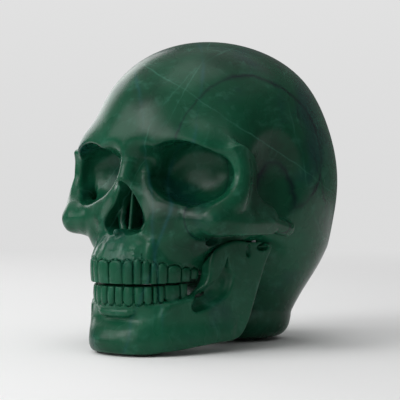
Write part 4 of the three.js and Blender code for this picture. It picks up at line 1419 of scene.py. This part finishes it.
@dataclass
class Studio:
    """Pale floor that sweeps up behind the skull, soft lamps and the camera."""

    azimuth: float = 38
    distance: float = 0.690
    height: float = 0.080
    focal_pixels: float = 1311
    middle_pixel: Spot = (205, 190)
    frame_pixels: float = 400
    sensor: float = 36  # width in millimetres
    clip: Spot = (0.01, 20)
    rings: int = 30  # of the floor and the wall together
    around: int = 96
    inner_radius: float = 0.02  # of the innermost ring
    floor_radius: float = 2.2
    wall_radius: float = 1.0  # of the bend between the floor and the wall
    wall_height: float = 3.0
    floor_tone: float = 0.90
    far_tone: float = 0.72
    # glow at the top of the wall, brighter than the far tone: painted light on the backdrop
    lit_top_tone: float = 0.79
    fade: Spot = (0.35, 1.1)  # distances between which the paint fades into the even tone
    bounce: float = 0.2  # share of the even tone that the skull meets
    world_light: float = 0.55
    lamps: Sequence[tuple[str, Point, float, float]] = (
        ("key", (-0.35, -1.1, 0.9), 0.55, 6),
        ("side", (-0.9, -1.0, 0.7), 0.8, 6),
        ("front", (0.1, -1.4, 0.5), 0.8, 4),
        ("rim", (-1.3, 0.55, 0.6), 0.9, 5),
        ("top", (0.0, -0.1, 1.6), 0.9, 4),
    )  # name, place, side of the square panel and power

    def build(self) -> None:
        """Makes everything round the object."""
        self._camera()
        self._sweep()
        for lamp in self.lamps:
            self._lamp(*lamp)
        self._world()
        bpy.context.scene.view_settings.view_transform = "Standard"

    def _camera(self) -> None:
        """Level camera at the skull's front left."""
        data = bpy.data.cameras.new("camera")
        data.sensor_width = self.sensor
        data.lens = self.focal_pixels / self.frame_pixels * self.sensor
        data.shift_x = (self.frame_pixels / 2 - self.middle_pixel[0]) / self.frame_pixels
        data.shift_y = (self.middle_pixel[1] - self.frame_pixels / 2) / self.frame_pixels
        data.clip_start, data.clip_end = self.clip
        camera = linked("camera", data)
        turn = math.radians(self.azimuth)
        camera.location = (self.distance * math.sin(turn),
                           -self.distance * math.cos(turn) + SHIFT_Y * MM, self.height)
        camera.rotation_euler = (math.pi / 2, 0, turn)
        bpy.context.scene.camera = camera

    def _sweep(self) -> None:
        """Round floor that rises into a wall: a profile carried round the upright axis, from
        the top of the wall down and in. Near the skull it is lit and takes the shadow;
        further out it shows a pale glow that brightens toward the top as painted light."""
        along = np.linspace(1, 0, self.rings)
        climb = np.clip((along - 0.5) / 0.5, 0, 1) * math.pi / 2
        radii = (self.inner_radius + self.floor_radius * np.minimum(along / 0.5, 1) ** 1.5
                 + self.wall_radius * np.sin(climb))
        heights = self.wall_height * (1 - np.cos(climb))
        points, faces = turned(np.append(radii, 0), np.append(heights, 0), self.around)
        mesh = MeshMaker.mesh_of_faces("sweep", points, faces)
        mesh.materials.append(self._sweep_finish())
        sweep = linked("sweep", mesh)

    def _sweep_finish(self) -> Material:
        """Matt paint near the skull that fades into a glowing tone, which only the camera sees
        in full and which brightens toward the top as painted light on the backdrop; other rays
        meet a dim wall."""
        dress = Dressing("sweep_finish", {
            "Base Color": (*(self.floor_tone,) * 3, 1), "Roughness": 0.9,
            "Specular IOR Level": 0.1})
        parts = dress.add("ShaderNodeSeparateXYZ", {0: dress.place}).outputs
        flat = dress.add("ShaderNodeCombineXYZ", {0: parts[0], 1: parts[1]}).outputs[0]
        far = dress.ease(dress.vector("LENGTH", flat).outputs["Value"], *self.fade)
        # the glow brightens with height: painted light on the backdrop
        tone = dress.between(dress.ease(parts[2], 0.0, 1.2), self.far_tone, self.lit_top_tone)
        seen = dress.add("ShaderNodeLightPath").outputs["Is Camera Ray"]
        level = dress.math("MULTIPLY", tone, dress.between(seen, self.bounce, 1.0))
        glow = dress.add("ShaderNodeEmission", {"Strength": level}).outputs[0]
        mixed = dress.add("ShaderNodeMixShader", {0: far, 1: dress.shader.outputs[0], 2: glow})
        output = dress.tree.nodes["Material Output"]
        dress.tree.links.new(mixed.outputs[0], output.inputs["Surface"])
        return dress.material

    @staticmethod
    def _lamp(name: str, place: Point, side: float, power: float) -> None:
        """Square soft lamp that faces the middle of the skull."""
        data = bpy.data.lights.new(name, "AREA")
        data.shape = "SQUARE"
        data.size = side
        data.energy = power
        lamp = linked(name, data)
        lamp.location = place
        aim = Vector(LAMP_AIM) - Vector(place)
        lamp.rotation_euler = aim.to_track_quat("-Z", "Y").to_euler()

    def _world(self) -> None:
        """Even white light from all round."""
        world = bpy.data.worlds.new("world")
        world.use_nodes = True
        background = world.node_tree.nodes["Background"].inputs
        background["Color"].default_value = (1, 1, 1, 1)
        background["Strength"].default_value = self.world_light
        bpy.context.scene.world = world


def main() -> None:
    """Builds the studio, the finishes and each piece in order."""
    logging.basicConfig(level=logging.INFO, format="%(name)s: %(message)s")
    Studio().build()
    clouds, sheet, grain = clouds_group(), vein_sheet_group(), grain_group()
    marble = GreenMarble().material(clouds, sheet, grain)
    steel = DrawnSteel().material(grain)
    pad = PadFinish().material(grain)
    maker = MeshMaker()
    cranium, mandible = Cranium(), Mandible()
    maker.casting("cranium", cranium.solid, cranium.lattice(), marble)
    maker.casting("mandible", mandible.solid, mandible.lattice(), marble)
    Pads().build(maker, pad)
    for node in ("jaw_pin_left", "jaw_pin_right"):
        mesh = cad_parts[node].data
        mesh.materials.clear()
        mesh.materials.append(steel)
        log.info("%s: drawn steel", node)


if __name__ == "__main__":
    main()
